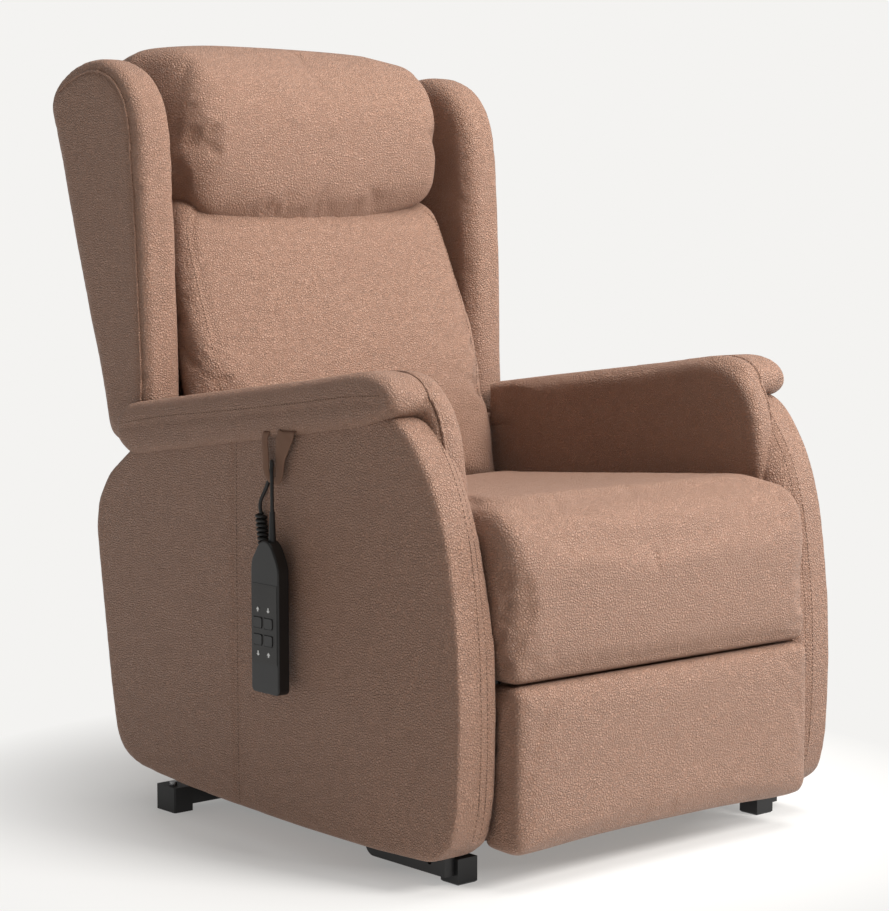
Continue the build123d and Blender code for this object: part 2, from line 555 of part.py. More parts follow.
def arms():
    """Each arm: outer panel, wooden frame, inner padding and the pad on top."""
    face = panel_face()
    reach = 400.0
    core_keep = block(0, reach, -500, ARM_CORE_REAR_Y, 0, 700)
    frames = []
    for side, name in ((1.0, "left"), (-1.0, "right")):
        add(f"side_panel_{name}", prism(face, side * PANEL_INNER, side * ARM_OUTER))
        core = prism(face, side * ARM_INNER, side * PANEL_INNER)
        keep = core_keep if side > 0 else mirror(core_keep, about=Plane.YZ)
        frame = bar_x([(-320, 80), (-345, 200), (-325, 350), (-250, 470), (-215, 540),
                       (ARM_CORE_REAR_Y - 10, 478), (ARM_CORE_REAR_Y - 10, 80)],
                      side * FRAME_INNER, side * PANEL_INNER)
        for y0, y1, z0, z1 in ((-280, -70, 120, 330), (-30, 190, 120, 330)):
            frame -= block(side * (FRAME_INNER - 1), side * (PANEL_INNER + 1), y0, y1, z0, z1)
        frames.append(frame)
        add(f"arm_core_{name}", (core & keep) - frame)
    add("arm_frames", *frames)

    pad_in = ARM_INNER - PAD_INNER_OVERHANG
    pad_out = ARM_OUTER + PAD_OVERHANG
    top = [(PAD_REAR_Y, 516.0), (310.0, 546.0), (286.0, 562.0), (113.0, 583.0), (-105.0, 609.0),
           (-206.0, 623.0), (-252.0, 626.0), (-282.0, 618.0), (-292.0, 598.0), (-288.0, 560.0),
           (0.0, 440.0), (PAD_REAR_Y - 60, 440.0)]
    nose = [(-200.0, 620.0), (-252.0, 626.0), (-290.0, 614.0), (-318.0, 582.0), (-333.0, 540.0),
            (-338.0, 482.0), (-300.0, 470.0), (-200.0, 560.0)]
    nose_width = 34.0
    cut_floor = 640.0
    for side, name in ((1.0, "left"), (-1.0, "right")):
        body = bar_x(top, side * pad_in, side * pad_out)
        body += bar_x(nose, side * pad_in, side * (pad_in + nose_width))
        body -= prism(face, side * ARM_INNER, side * ARM_OUTER)
        under = Polyline((290.0, 503.0), (-256.0, 579.0), (-302.0, 549.0), (-340.0, 492.0),
                         (-340.0, 300.0), (290.0, 300.0), close=True)
        under_face = Plane.YZ * make_face(under)
        body -= prism(under_face, side * (pad_in - 1), side * ARM_INNER)
        body -= prism(under_face, side * ARM_OUTER, side * (pad_out + 1))
        body -= block(side * (pad_in - 1), side * (pad_out - PAD_REAR_STRIP), PAD_REAR_CUT_Y,
                      PAD_REAR_Y + 5, 300.0, cut_floor)
        body -= block(side * (pad_in - 1), side * (pad_out + 1), PAD_REAR_CUT_Y, PAD_REAR_Y + 5,
                      300.0, 504.0)
        body -= block(side * (pad_in - 1), side * ARM_INNER, PAD_INNER_END_Y, PAD_REAR_Y + 5,
                      300.0, cut_floor)
        add(f"arm_pad_{name}", max(body.solids(), key=lambda one: one.volume))


# ================================================================ seat and footrest
def seat_cushion():
    """Seat cushion: a thick front roll that drops over the front, and a top that falls to the back."""
    lip_rear, lip_bottom, bottom = -350.0, 257.0, 274.0
    rear_y_ = 188.0
    f = SEAT_FRONT_Y
    shape = [
        (lip_rear, lip_bottom), (f + 14, lip_bottom), (f + 4, lip_bottom + 20), (f, 330.0),
        (f + 1, 400.0), (f + 10, SEAT_FRONT_Z - 36), (f + 36, SEAT_FRONT_Z - 8),
        (f + 75, SEAT_FRONT_Z), (rear_y_, SEAT_BACK_Z), (rear_y_, bottom), (lip_rear, bottom),
    ]
    body = bar_x(shape, -SEAT_HALF, SEAT_HALF)
    ends = body.edges().filter_by(Axis.X).group_by(Axis.Z)[-1]
    add("seat_cushion", fillet(ends, 20.0))


def footrest():
    """Footrest board, pad, brackets and the two pairs of links that swing it out."""
    pad_front, pad_rear = -416.0, -347.0
    board = 12.0
    add("footrest_cushion", fillet(
        block(-SEAT_HALF, SEAT_HALF, pad_front, pad_rear, 44.0, 250.0).edges().filter_by(
            Axis.X).group_by(Axis.Y)[0], 16.0))
    board_x = FOOT_BRACKET_X + FOOT_PLATE
    board_rear = pad_rear + board
    add("footrest_board", block(-board_x, board_x, pad_rear, board_rear, 60.0, 240.0))
    fa, fb = FOOT_HEAD_FRONT, FOOT_HEAD_REAR
    shape = [(board_rear, 130.0), (board_rear, 238.0), (fa[0], fa[1] + FOOT_LINK_R - 1),
             (fa[0] + FOOT_LINK_R - 1, fa[1]), (fb[0] + FOOT_LINK_R - 1, fb[1]),
             (fb[0], fb[1] - FOOT_LINK_R + 1)]

    def bracket(s):
        x0, x1 = s * FOOT_BRACKET_X, s * (FOOT_BRACKET_X + FOOT_PLATE)
        plate = bar_x(shape, x0, x1) + rod_x(fa, FOOT_LINK_R, x0, x1)
        plate += rod_x(fb, FOOT_LINK_R, x0, x1)
        for pivot in (fa, fb):
            plate -= rod_x(pivot, FOOT_PIN_R + FIT, x0 - s, x1 + s)
        return plate

    add("footrest_brackets", *both(bracket))
    add("footrest_front_links", *both(lambda s: link(
        FOOT_PIVOT_FRONT, fa, FOOT_PIN_R + FIT, FOOT_PIN_R + FIT, FOOT_LINK_R, FOOT_LINK_R, 9.0,
        s * FOOT_FRONT_LINK_X, s * (FOOT_FRONT_LINK_X + FOOT_PLATE))))
    open_r = FOOT_PIN_R + FOOT_HEAD_PLAY
    add("footrest_rear_links", *both(lambda s: link(
        FOOT_PIVOT_REAR, fb, FOOT_PIN_R + FIT, open_r, FOOT_LINK_R, open_r + 6, 9.0,
        s * FOOT_REAR_LINK_X, s * (FOOT_REAR_LINK_X + FOOT_PLATE))))

    def front_pin(s):
        return pin(fa, FOOT_PIN_R, s * (FOOT_BRACKET_X - 2.5),
                   s * (FOOT_FRONT_LINK_X + FOOT_PLATE + 2.4), COLLAR_R, COLLAR_R - 1, head=2.5,
                   collar=2.0)

    def rear_pin(s):
        return pin(fb, FOOT_PIN_R, s * (FOOT_BRACKET_X - 2.5),
                   s * (FOOT_REAR_LINK_X + FOOT_PLATE + 2.4), COLLAR_R, open_r + 3, head=2.5,
                   collar=2.0)

    add("footrest_head_pins", *both(front_pin), *both(rear_pin))


# ================================================================ back
def wing_face():
    """Wing outline: upright front edge, round top, rear edge along the back's lean."""
    f, b = WING_FRONT_Y, WING_BOTTOM_Z
    top = BACK_TOP_Z - WING_TOP_DROP
    nape_z = top - 67.0
    nape_y = rear_y(nape_z)
    front = Spline((f, b), (f + 3, 640.0), (f + 8, 800.0), (f + 16, top - 112.0))
    brow = ThreePointArc(front @ 1, (f + 36, top - 34.0), (f + 95, top))
    crown = ThreePointArc(brow @ 1, (nape_y - 65.5, top - 4.0), (nape_y - 13.5, top - 26.0))
    nape = ThreePointArc(crown @ 1, (nape_y + 5.5, top - 44.0), (nape_y, nape_z))
    rear = Line(nape @ 1, (rear_y(b), b))
    close = Line((rear_y(b), b), (f, b))
    edges = [front, brow, crown, nape, rear, close]
    return Plane.YZ * make_face(Wire([e for piece in edges for e in piece.edges()]))


def back():
    """Back: steel frame, rear cover, lower cushion, head cushion and the two wings."""
    inset = REAR_COVER_THICKNESS + 2
    low, high = 345.0, BACK_TOP_Z - UPRIGHT_TOP_DROP

    def upright(s):
        pts = [(rear_y(low) - inset - BACK_TUBE, low), (rear_y(low) - inset, low),
               (rear_y(high) - inset, high), (rear_y(high) - inset - BACK_TUBE, high)]
        return bar_x(pts, s * UPRIGHT_X, s * (UPRIGHT_X + BACK_TUBE))

    add("back_uprights", *both(upright))

    def rail(z):
        pts = [(rear_y(z) - inset - BACK_TUBE, z), (rear_y(z) - inset, z),
               (rear_y(z + BACK_TUBE) - inset, z + BACK_TUBE),
               (rear_y(z + BACK_TUBE) - inset - BACK_TUBE, z + BACK_TUBE)]
        return bar_x(pts, -UPRIGHT_X, UPRIGHT_X)

    add("back_rails", rail(low), rail(650.0), rail(high - BACK_TUBE))

    # hinge brackets, flush on the uprights' outer faces
    ry, rz = BACK_PIVOT
    shape = [(ry - 8, rz - EYE_R + 2), (rear_y(low) - inset, low),
             (rear_y(436.0) - inset, 436.0), (rear_y(436.0) - inset - BACK_TUBE + 4, 436.0),
             (ry - 2, rz + EYE_R - 1)]

    def bracket(s):
        x0, x1 = s * BACK_BRACKET_X, s * (BACK_BRACKET_X + PLATE)
        plate = bar_x(shape, x0, x1) + rod_x(BACK_PIVOT, EYE_R, x0, x1)
        return plate - rod_x(BACK_PIVOT, PIN_R + FIT, x0 - s, x1 + s)

    add("back_brackets", *both(bracket))

    # lever pair under the lowest rail for the recline actuator
    inner, cheek = EYE_WIDTH / 2 + 1.0, 5.0
    rail_y = rear_y(low) - inset
    levers = []
    for s in (1.0, -1.0):
        x0, x1 = RECLINE_MOTOR_X + s * inner, RECLINE_MOTOR_X + s * (inner + cheek)
        plate = bar_x([(rail_y - BACK_TUBE, low), (rail_y - 4, low),
                       (RECLINE_HOLE[0] + 5, RECLINE_HOLE[1] + 10),
                       (RECLINE_HOLE[0] - 14, RECLINE_HOLE[1] + 10)], x0, x1)
        plate += rod_x(RECLINE_HOLE, RECLINE_HOLE_R + 6, x0, x1)
        plate -= rod_x(RECLINE_HOLE, RECLINE_HOLE_R, x0 - s, x1 + s)
        levers.append(plate)
    add("recline_levers", *levers)

    cover_top = BACK_TOP_Z - REAR_COVER_TOP_DROP
    z0, t = REAR_COVER_BOTTOM_Z, REAR_COVER_THICKNESS
    cover = bar_x([(rear_y(z0) - t, z0), (rear_y(z0), z0), (rear_y(cover_top), cover_top),
                   (rear_y(cover_top) - t, cover_top)], -WING_INNER_X, WING_INNER_X)
    add("back_rear_cover", cover)

    depth = inset + BACK_TUBE + 2
    base, panel_top = 441.0, BACK_TOP_Z - INNER_PANEL_TOP_DROP
    panel = bar_x([(rear_y(base) - depth - INNER_BACK_THICKNESS, base), (rear_y(base) - depth, base),
                   (rear_y(panel_top) - depth, panel_top),
                   (rear_y(panel_top) - depth - INNER_BACK_THICKNESS, panel_top)],
                  -BACK_HALF - 2, BACK_HALF + 2)
    add("inner_back_panel", panel)

    depth += INNER_BACK_THICKNESS
    zc = BACK_CUSHION_TOP_Z
    front = [(196.0, base), (205.0, 520.0), (230.0, 620.0), (270.0, 712.0), (304.0, 797.0),
             (322.0, zc)]
    rear = [(rear_y(zc) - depth, zc), (rear_y(base) - depth, base)]
    add("back_cushion", bar_x(front + rear, -BACK_HALF + 8, BACK_HALF - 8))

    zh = zc + SOFT_GAP
    top = BACK_TOP_Z
    over = cover_top + SOFT_GAP
    head = [(320.0, zh), (296.0, zh + 27.0), (290.0, zh + 81.0), (296.0, top - 81.0),
            (318.0, top - 30.0), (358.0, top), (430.0, top - 2.0), (rear_y(over) - t, over),
            (rear_y(panel_top + SOFT_GAP) - depth, panel_top + SOFT_GAP),
            (rear_y(zh) - depth, zh)]
    add("head_cushion", bar_x(head, -HEAD_HALF, HEAD_HALF))

    face = wing_face()
    for side, name in ((1.0, "left"), (-1.0, "right")):
        add(f"wing_{name}", prism(face, side * WING_INNER_X, side * WING_OUTER_X))


# ================================================================ handset and its cable
def handset_face():
    """Handset outline, a tall box with a domed top."""
    y0, y1 = HANDSET_FRONT_Y, HANDSET_REAR_Y
    z0, z1, zt = HANDSET_BOTTOM_Z, HANDSET_SHOULDER_Z, HANDSET_TOP_Z
    middle = (y0 + y1) / 2
    walls = Polyline((y1, z1), (y1, z0), (y0, z0), (y0, z1))
    dome = Spline((y0, z1), (y0 + 9, z1 + 26), (middle - 8, zt), (middle + 8, zt), (y1 - 9, z1 + 26),
                  (y1, z1), tangents=[(0, 1), (0, -1)])
    face = Plane.YZ * make_face(Wire([*walls.edges(), *dome.edges()]))
    corners = face.vertices().group_by(Axis.Z)[0]
    return fillet(corners, HANDSET_CORNER_R)


def off_panel(out, y, z):
    """A point at a distance out from the right side panel."""
    return (-ARM_OUTER - out, y, z)


def hook_points():
    """Corners of the cable's half turn through the strap, about a circle of the hook's radius."""
    (x0, y0), (x1, y1) = HOOK_LEGS
    width = hypot(x1 - x0, y1 - y0)
    side = HOOK_R * tan(radians(22.5))
    corners = []
    for along, drop in ((0.0, HOOK_R - side), (HOOK_R - side, 0.0),
                        (width - HOOK_R + side, 0.0), (width, HOOK_R - side)):
        share = along / width
        corners.append((x0 + share * (x1 - x0), y0 + share * (y1 - y0), HOOK_TOP_Z - drop))
    return corners


def button_places():
    """Centre (y, z) of the four buttons, with the name of each."""
    names = ("seat_up", "back_up", "seat_down", "back_down")
    for index, name in enumerate(names):
        column, row = index % 2, index // 2
        yield name, (BUTTON_CENTRE[0] + (0.5 - column) * BUTTON_PITCH[0],
                     BUTTON_CENTRE[1] + (0.5 - row) * BUTTON_PITCH[1])


def handset():
    """Two-shell handset with four push buttons, its cable and the strap that it hangs by."""
    face = handset_face()
    x0 = -ARM_OUTER - HANDSET_OUT
    xs = x0 + HANDSET_SPLIT
    x1 = x0 + HANDSET_THICKNESS
    front, rear = prism(face, x0, xs), prism(face, xs, x1)
    front = fillet(front.faces().sort_by(Axis.X)[0].edges(), HANDSET_EDGE_R)
    rear = fillet(rear.faces().sort_by(Axis.X)[-1].edges(), HANDSET_EDGE_R)
    for name, (y, z) in button_places():
        dy, dz = BUTTON[0] / 2 + BUTTON_GAP, BUTTON[1] / 2 + BUTTON_GAP
        front -= block(x0 - 1, x0 + BUTTON_POCKET, y - dy, y + dy, z - dz, z + dz)
        button = block(x0 - BUTTON_PROUD, x0 + BUTTON_POCKET - BUTTON_PROUD - 1.0,
                       y - BUTTON[0] / 2, y + BUTTON[0] / 2, z - BUTTON[1] / 2, z + BUTTON[1] / 2)
        button = fillet(button.edges().filter_by(Axis.X), 2.5)
        add(f"button_{name}", button)
    relief_x, relief_y, relief_z = off_panel(*RELIEF_TOP)
    # the tapered relief stands in a notch of the domed top
    foot_z = HANDSET_TOP_Z - 8.0
    foot_r, tip_r = 5.2, 3.4
    notch = Pos(relief_x, relief_y, foot_z + 20) * Cylinder(foot_r + 0.2, 40)
    front -= notch
    rear -= notch
    add("handset_front", front)
    add("handset_rear", rear)
    height = relief_z - foot_z
    relief = Pos(relief_x, relief_y, foot_z + height / 2) * Cone(foot_r, tip_r, height)
    add("cable_strain_relief", relief)

    coil = [Vector(*off_panel(*p)) for p in COIL_ROUTE]
    top_lead = coil[0] + (coil[0] - coil[1]).normalized() * (TAIL_LEAD + 2)
    low_lead = coil[-1] + (coil[-1] - coil[-2]).normalized() * TAIL_LEAD
    add("cable_coil", tube_path(coil, COIL_R, COIL_R))
    route = [off_panel(*p) for p in (*CABLE_UP, *hook_points(), *CABLE_DOWN)]
    smallest = 3 * 2 * CABLE_R * 0.9
    add("handset_cable", tube_path([*route, top_lead, coil[0]], CABLE_R, smallest))
    tail = [coil[-1], low_lead, Vector(*off_panel(*TAIL_END))]
    add("cable_tail", tube_path(tail, CABLE_R, smallest))
    way = (tail[-1] - tail[-2]).normalized()
    gland = extrude(Plane(origin=tail[-1], z_dir=way) * Circle(GLAND_R), amount=GLAND_LENGTH)
    add("cable_gland", gland - block(-ARM_OUTER, -ARM_INNER, -200, 100, 200, 400))

    # fabric strap: two legs and the bottom they meet in, hanging from under the arm pad
    sx1 = -ARM_OUTER - STRAP_OUT
    sx0 = sx1 - STRAP_THICKNESS
    legs = [
        [(-33, 492), (-44, 488), (-46, 520), (-54, 546), (-40, 544), (-36, 520)],
        [(-59, 520), (-62, 486), (-75, 482), (-84, 520), (-98, 550), (-64, 548)],
        [(-33.5, 491.5), (-44, 488), (-62, 486), (-66, 480), (-46, 481), (-35, 485)],
    ]
    strap_body = bar_x(legs[0], sx0, sx1) + bar_x(legs[1], sx0, sx1) + bar_x(legs[2], sx0, sx1)
    # each leg turns in over the panel under the pad
    fold = bar_x([(-40, 544), (-54, 546), (-54, 544), (-40, 542)], sx1, -ARM_OUTER)
    fold += bar_x([(-64, 548), (-98, 550), (-98, 548), (-64, 546)], sx1, -ARM_OUTER)
    add("handset_strap", strap_body + fold)


# ================================================================ build and save
def build():
    """Make every node."""
    base_frame()
    lift_links()
    actuators()
    carriage_frame()
    arms()
    seat_cushion()
    footrest()
    back()
    handset()


CORD_NODES = ["handset_cable", "cable_coil", "cable_tail"]


def origin_shift():
    """Move that puts the origin at the middle of the footprint, measured without the cord."""
    boxes = [one.bounding_box() for name, solids in PARTS.items() if name not in CORD_NODES
             for one in solids]
    middle = [(min(getattr(b.min, a) for b in boxes) + max(getattr(b.max, a) for b in boxes)) / 2
              for a in ("X", "Y")]
    return (-middle[0], -middle[1], -min(b.min.Z for b in boxes))


build()
SHIFT = origin_shift()

if __name__ == "__main__":
    os.makedirs("parts", exist_ok=True)
    for node, solids in PARTS.items():
        moved = [Pos(*SHIFT) * one for one in solids]
        shape = moved[0] if len(moved) == 1 else Compound(children=moved)
        export_step(shape, f"parts/{node}.step")
    print(len(PARTS), "nodes, origin moved by", [round(v, 2) for v in SHIFT])
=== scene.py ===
"""Looks of the lift recliner chair: leather upholstery, black steel base, handset and cord.

Lengths in the drawings below are millimetres about the chair's centre plane, as the side outlines are drawn;
at() turns them into the row frame in metres.
"""
import json
import math

import bmesh
import bpy
import numpy as np
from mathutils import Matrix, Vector
from mathutils.bvhtree import BVHTree


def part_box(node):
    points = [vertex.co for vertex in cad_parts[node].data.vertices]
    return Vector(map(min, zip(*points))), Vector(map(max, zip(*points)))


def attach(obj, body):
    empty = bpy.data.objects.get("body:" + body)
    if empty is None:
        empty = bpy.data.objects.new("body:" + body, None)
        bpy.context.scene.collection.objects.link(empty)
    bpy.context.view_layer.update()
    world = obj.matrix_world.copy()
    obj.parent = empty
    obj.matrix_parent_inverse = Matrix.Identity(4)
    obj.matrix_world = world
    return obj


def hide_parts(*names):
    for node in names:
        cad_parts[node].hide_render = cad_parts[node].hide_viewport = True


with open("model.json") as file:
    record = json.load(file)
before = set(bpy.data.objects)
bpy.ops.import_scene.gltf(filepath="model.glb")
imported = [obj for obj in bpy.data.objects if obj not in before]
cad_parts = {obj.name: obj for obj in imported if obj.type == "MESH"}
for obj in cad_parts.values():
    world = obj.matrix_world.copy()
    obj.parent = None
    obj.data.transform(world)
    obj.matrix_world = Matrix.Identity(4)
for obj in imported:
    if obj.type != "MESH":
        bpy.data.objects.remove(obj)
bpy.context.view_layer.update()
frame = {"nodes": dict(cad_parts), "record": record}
SCENE = bpy.context.scene

# ------------------------------------------------------------------ where the drawings' zero is
SEAT_FRONT = 412.0
CENTRE_X = (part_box("side_panel_left")[1].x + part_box("side_panel_right")[0].x) / 2
CENTRE_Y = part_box("seat_cushion")[0].y + SEAT_FRONT / 1000

# ------------------------------------------------------------------ sizes shared by several pieces
ARM_INNER, ARM_OUTER = 272.0, 350.0
PANEL_INNER = 336.0
PAD_IN, PAD_OUT = 266.0, 357.0
SEAT_HALF = 263.0
BACK_HALF = 268.0
WING_INNER, WING_OUTER = 274.0, 330.0
HEAD_HALF = 226.0
REAR_Y, REAR_Z = 348.0, 508.0
LEAN = math.tan(math.radians(17.3))
VOXEL = 0.005


def at(x, y, z):
    """Drawing millimetres to the row frame in metres."""
    return Vector((CENTRE_X + x / 1000, CENTRE_Y + y / 1000, z / 1000))


def rear_y(z):
    """Y of the back's rear face at a height."""
    return REAR_Y + LEAN * (z - REAR_Z)


# ================================================================== materials
def srgb(r, g, b):
    """Linear colour from 0-255 values."""
    def one(v):
        v /= 255
        return v / 12.92 if v <= 0.04045 else ((v + 0.055) / 1.055) ** 2.4
    return (one(r), one(g), one(b), 1.0)


class Nodes:
    """A material's node tree with short calls for adding and joining nodes."""

    def __init__(self, name):
        self.material = bpy.data.materials.new(name)
        self.material.use_nodes = True
        self.tree = self.material.node_tree
        self.shader = self.tree.nodes["Principled BSDF"]

    def add(self, kind, **values):
        node = self.tree.nodes.new(kind)
        for key, value in values.items():
            if key in node.inputs:
                node.inputs[key].default_value = value
            else:
                setattr(node, key, value)
        return node

    def join(self, out, into):
        self.tree.links.new(out, into)

    def coords(self):
        return self.add("ShaderNodeTexCoord").outputs["Object"]

    def noise(self, vector, scale, detail=3.0):
        node = self.add("ShaderNodeTexNoise", Scale=scale, Detail=detail)
        self.join(vector, node.inputs["Vector"])
        return node.outputs["Fac"]

    def ramp(self, value, low, high, start, end):
        """Value remapped from low..high to start..end."""
        node = self.add("ShaderNodeMapRange")
        for key, number in (("From Min", low), ("From Max", high), ("To Min", start), ("To Max", end)):
            node.inputs[key].default_value = number
        self.join(value, node.inputs["Value"])
        return node.outputs["Result"]

    def mix(self, factor, first, second):
        node = self.add("ShaderNodeMix", data_type="RGBA")
        for index, value in ((6, first), (7, second)):
            if isinstance(value, tuple):
                node.inputs[index].default_value = value
            else:
                self.join(value, node.inputs[index])
        self.join(factor, node.inputs[0])
        return node.outputs[2]

    def bump(self, height, strength, distance, normal=None):
        node = self.add("ShaderNodeBump", Strength=strength, Distance=distance)
        self.join(height, node.inputs["Height"])
        if normal is not None:
            self.join(normal, node.inputs["Normal"])
        return node.outputs["Normal"]


def leather():
    """Brown coated fabric with a pebble grain, fine creases between the pebbles, soft tonal drift and a
    painted highlight on the pebble tops.
    """
    n = Nodes("faux_leather")
    place = n.coords()
    warp = n.add("ShaderNodeVectorMath", operation="MULTIPLY_ADD")
    swirl = n.add("ShaderNodeTexNoise", Scale=110.0, Detail=2.0)
    n.join(place, swirl.inputs["Vector"])
    n.join(swirl.outputs["Color"], warp.inputs[0])
    warp.inputs[1].default_value = (0.0035, 0.0035, 0.0035)
    n.join(place, warp.inputs[2])
    pebble = n.add("ShaderNodeTexVoronoi", feature="DISTANCE_TO_EDGE", Scale=290.0)
    n.join(warp.outputs[0], pebble.inputs["Vector"])
    fine = n.add("ShaderNodeTexVoronoi", feature="DISTANCE_TO_EDGE", Scale=620.0)
    n.join(warp.outputs[0], fine.inputs["Vector"])
    crease = n.ramp(pebble.outputs["Distance"], 0.0, 0.3, 0.0, 1.0)
    small = n.ramp(fine.outputs["Distance"], 0.0, 0.25, 0.0, 1.0)
    first = n.bump(crease, 1.0, 0.0014)
    second = n.bump(small, 0.45, 0.0006, first)
    broad = n.bump(n.noise(place, 14.0, 2.0), 0.1, 0.003, second)
    n.join(broad, n.shader.inputs["Normal"])
    drift = n.ramp(n.noise(place, 60.0, 2.0), 0.3, 0.7, 0.0, 1.0)
    base = n.mix(drift, srgb(148, 110, 89), srgb(154, 116, 95))
    # painted highlight: the pebble tops are lightened towards a pale brown, and the creases between them
    # keep the darker base colour
    painted_pebble_highlight = n.mix(n.ramp(crease, 0.25, 0.9, 0.0, 0.3), base, srgb(186, 150, 127))
    n.join(painted_pebble_highlight, n.shader.inputs["Base Color"])
    n.join(n.ramp(crease, 0.0, 1.0, 0.56, 0.44), n.shader.inputs["Roughness"])
    n.shader.inputs["Specular IOR Level"].default_value = 0.45
    n.shader.inputs["Sheen Weight"].default_value = 0.08
    n.shader.inputs["Sheen Roughness"].default_value = 0.5
    return n.material


def plain(name, colour, other, roughness, grain, bump, metallic=0.0, distance=0.0002):
    """A solid material with a fine grain and a little change of tone and gloss."""
    n = Nodes(name)
    place = n.coords()
    fine = n.noise(place, grain, 4.0)
    wide = n.noise(place, 22.0, 3.0)
    n.join(n.mix(n.ramp(wide, 0.35, 0.65, 0.0, 1.0), colour, other), n.shader.inputs["Base Color"])
    n.join(n.ramp(fine, 0.3, 0.7, roughness - 0.06, roughness + 0.06), n.shader.inputs["Roughness"])
    n.join(n.bump(fine, bump, distance), n.shader.inputs["Normal"])
    n.shader.inputs["Metallic"].default_value = metallic
    return n.material


def wood():
    """Raw board with long grain."""
    n = Nodes("raw_board")
    place = n.add("ShaderNodeMapping", Scale=(4.0, 60.0, 60.0))
    n.join(n.coords(), place.inputs["Vector"])
    grain = n.noise(place.outputs[0], 3.0, 6.0)
    tone = n.mix(n.ramp(grain, 0.3, 0.7, 0.0, 1.0), srgb(178, 140, 96), srgb(206, 172, 128))
    n.join(tone, n.shader.inputs["Base Color"])
    n.join(n.bump(grain, 0.3, 0.0006), n.shader.inputs["Normal"])
    n.shader.inputs["Roughness"].default_value = 0.7
    return n.material


def webbing():
    """Dark woven strap."""
    n = Nodes("woven_strap")
    place = n.coords()
    along = n.add("ShaderNodeTexWave", Scale=260.0, Distortion=1.0, bands_direction="Z")
    n.join(place, along.inputs["Vector"])
    tone = n.mix(along.outputs["Fac"], srgb(98, 70, 54), srgb(134, 99, 78))
    n.join(tone, n.shader.inputs["Base Color"])
    n.join(n.bump(along.outputs["Fac"], 0.5, 0.0004), n.shader.inputs["Normal"])
    n.shader.inputs["Roughness"].default_value = 0.8
    return n.material


LEATHER = leather()
STEEL = plain("black_steel", srgb(20, 20, 21), srgb(26, 26, 27), 0.42, 900.0, 0.25)
PLATED = plain("plated_steel", srgb(150, 150, 152), srgb(172, 172, 172), 0.35, 700.0, 0.1, 1.0)
PLASTIC = plain("black_plastic", srgb(18, 18, 19), srgb(24, 24, 25), 0.5, 1400.0, 0.3)
SHELL = plain("handset_shell", srgb(17, 16, 16), srgb(22, 21, 20), 0.4, 1600.0, 0.12)
INSET = plain("handset_inset", srgb(34, 32, 31), srgb(40, 38, 36), 0.5, 1600.0, 0.15)
KEY = plain("button", srgb(24, 23, 22), srgb(30, 28, 27), 0.4, 1600.0, 0.15)
PRINT = plain("printed_mark", srgb(225, 225, 222), srgb(212, 212, 210), 0.6, 900.0, 0.02)
RUBBER = plain("cord_rubber", srgb(18, 17, 17), srgb(24, 23, 22), 0.5, 1500.0, 0.1)
THREAD = plain("thread", srgb(92, 66, 50), srgb(120, 90, 70), 0.7, 2500.0, 0.3)
WOOD = wood()
WEBBING = webbing()

SLOT_LOOKS = {
    "black_steel": STEEL, "plated_steel": PLATED, "faux_leather": LEATHER, "wood": WOOD,
    "black_plastic": PLASTIC, "handset_shell": SHELL, "button": KEY, "cable": RUBBER, "strap": WEBBING,
}
SLOT_BEVELS = {"black_steel": 0.0012, "black_plastic": 0.0012, "handset_shell": 0.0028, "button": 0.0008}
BEVEL_ANGLE = 40


def dress_frame():
    """Every CAD node gets its material; the steel, black plastic, handset shell and button nodes also get a
    small bevel that catches the light.
    """
    slots = {part["node"]: part["material_slot"] for part in frame["record"]["subparts"]}
    for name, obj in frame["nodes"].items():
        slot = slots[name]
        obj.data.materials.clear()
        obj.data.materials.append(SLOT_LOOKS[slot])
        if slot in SLOT_BEVELS:
            bevel = obj.modifiers.new("edge", "BEVEL")
            bevel.width = SLOT_BEVELS[slot]
            bevel.segments = 3
            bevel.limit_method = "ANGLE"
            bevel.angle_limit = math.radians(BEVEL_ANGLE)


# ================================================================== mesh helpers
def rounded(points, radius, steps=5):
    """Closed (y, z) outline with every corner turned by a smooth curve."""
    out = []
    count = len(points)
    for i, here in enumerate(points):
        here = Vector(here)
        before, after = Vector(points[i - 1]), Vector(points[(i + 1) % count])
        cut_in = min(radius, 0.45 * (before - here).length)
        cut_out = min(radius, 0.45 * (after - here).length)
        a = here + (before - here).normalized() * cut_in
        b = here + (after - here).normalized() * cut_out
        for k in range(steps + 1):
            t = k / steps
            out.append(a * (1 - t) ** 2 + here * 2 * t * (1 - t) + b * t**2)
    return out


def smooth_line(points, steps=6):
    """Open line through the points, as a Catmull-Rom curve."""
    p = [Vector(q) for q in points]
    p = [p[0] * 2 - p[1], *p, p[-1] * 2 - p[-2]]
    out = []
    for a, b, c, d in zip(p, p[1:], p[2:], p[3:]):
        for k in range(steps):
            t = k / steps
            out.append(0.5 * (b * 2 + (c - a) * t + (a * 2 - b * 5 + c * 4 - d) * t**2
                              + (b * 3 - a - c * 3 + d) * t**3))
    out.append(p[-2])
    return out


def slab_into(bm, outline, x0, x1, edge, edge_far=None):
    """Adds a closed prism of the outline from x0 to x1, its two end outlines rounded."""
    low, high = min(x0, x1), max(x0, x1)
    near = [bm.verts.new(at(low, p[0], p[1])) for p in outline]
    far = [bm.verts.new(at(high, p[0], p[1])) for p in outline]
    count = len(outline)
    faces = [bm.faces.new(near), bm.faces.new(list(reversed(far)))]
    for i in range(count):
        j = (i + 1) % count
        faces.append(bm.faces.new((near[j], near[i], far[i], far[j])))
    bmesh.ops.recalc_face_normals(bm, faces=faces)
    far_radius = edge if edge_far is None else edge_far
    for radius, ring in ((edge, near), (far_radius, far)):
        if radius <= 0:
            continue
        keep = set(ring)
        edges = [e for e in bm.edges if e.verts[0] in keep and e.verts[1] in keep]
        bmesh.ops.bevel(bm, geom=edges, offset=radius / 1000, segments=4, profile=0.5,
                        affect="EDGES")


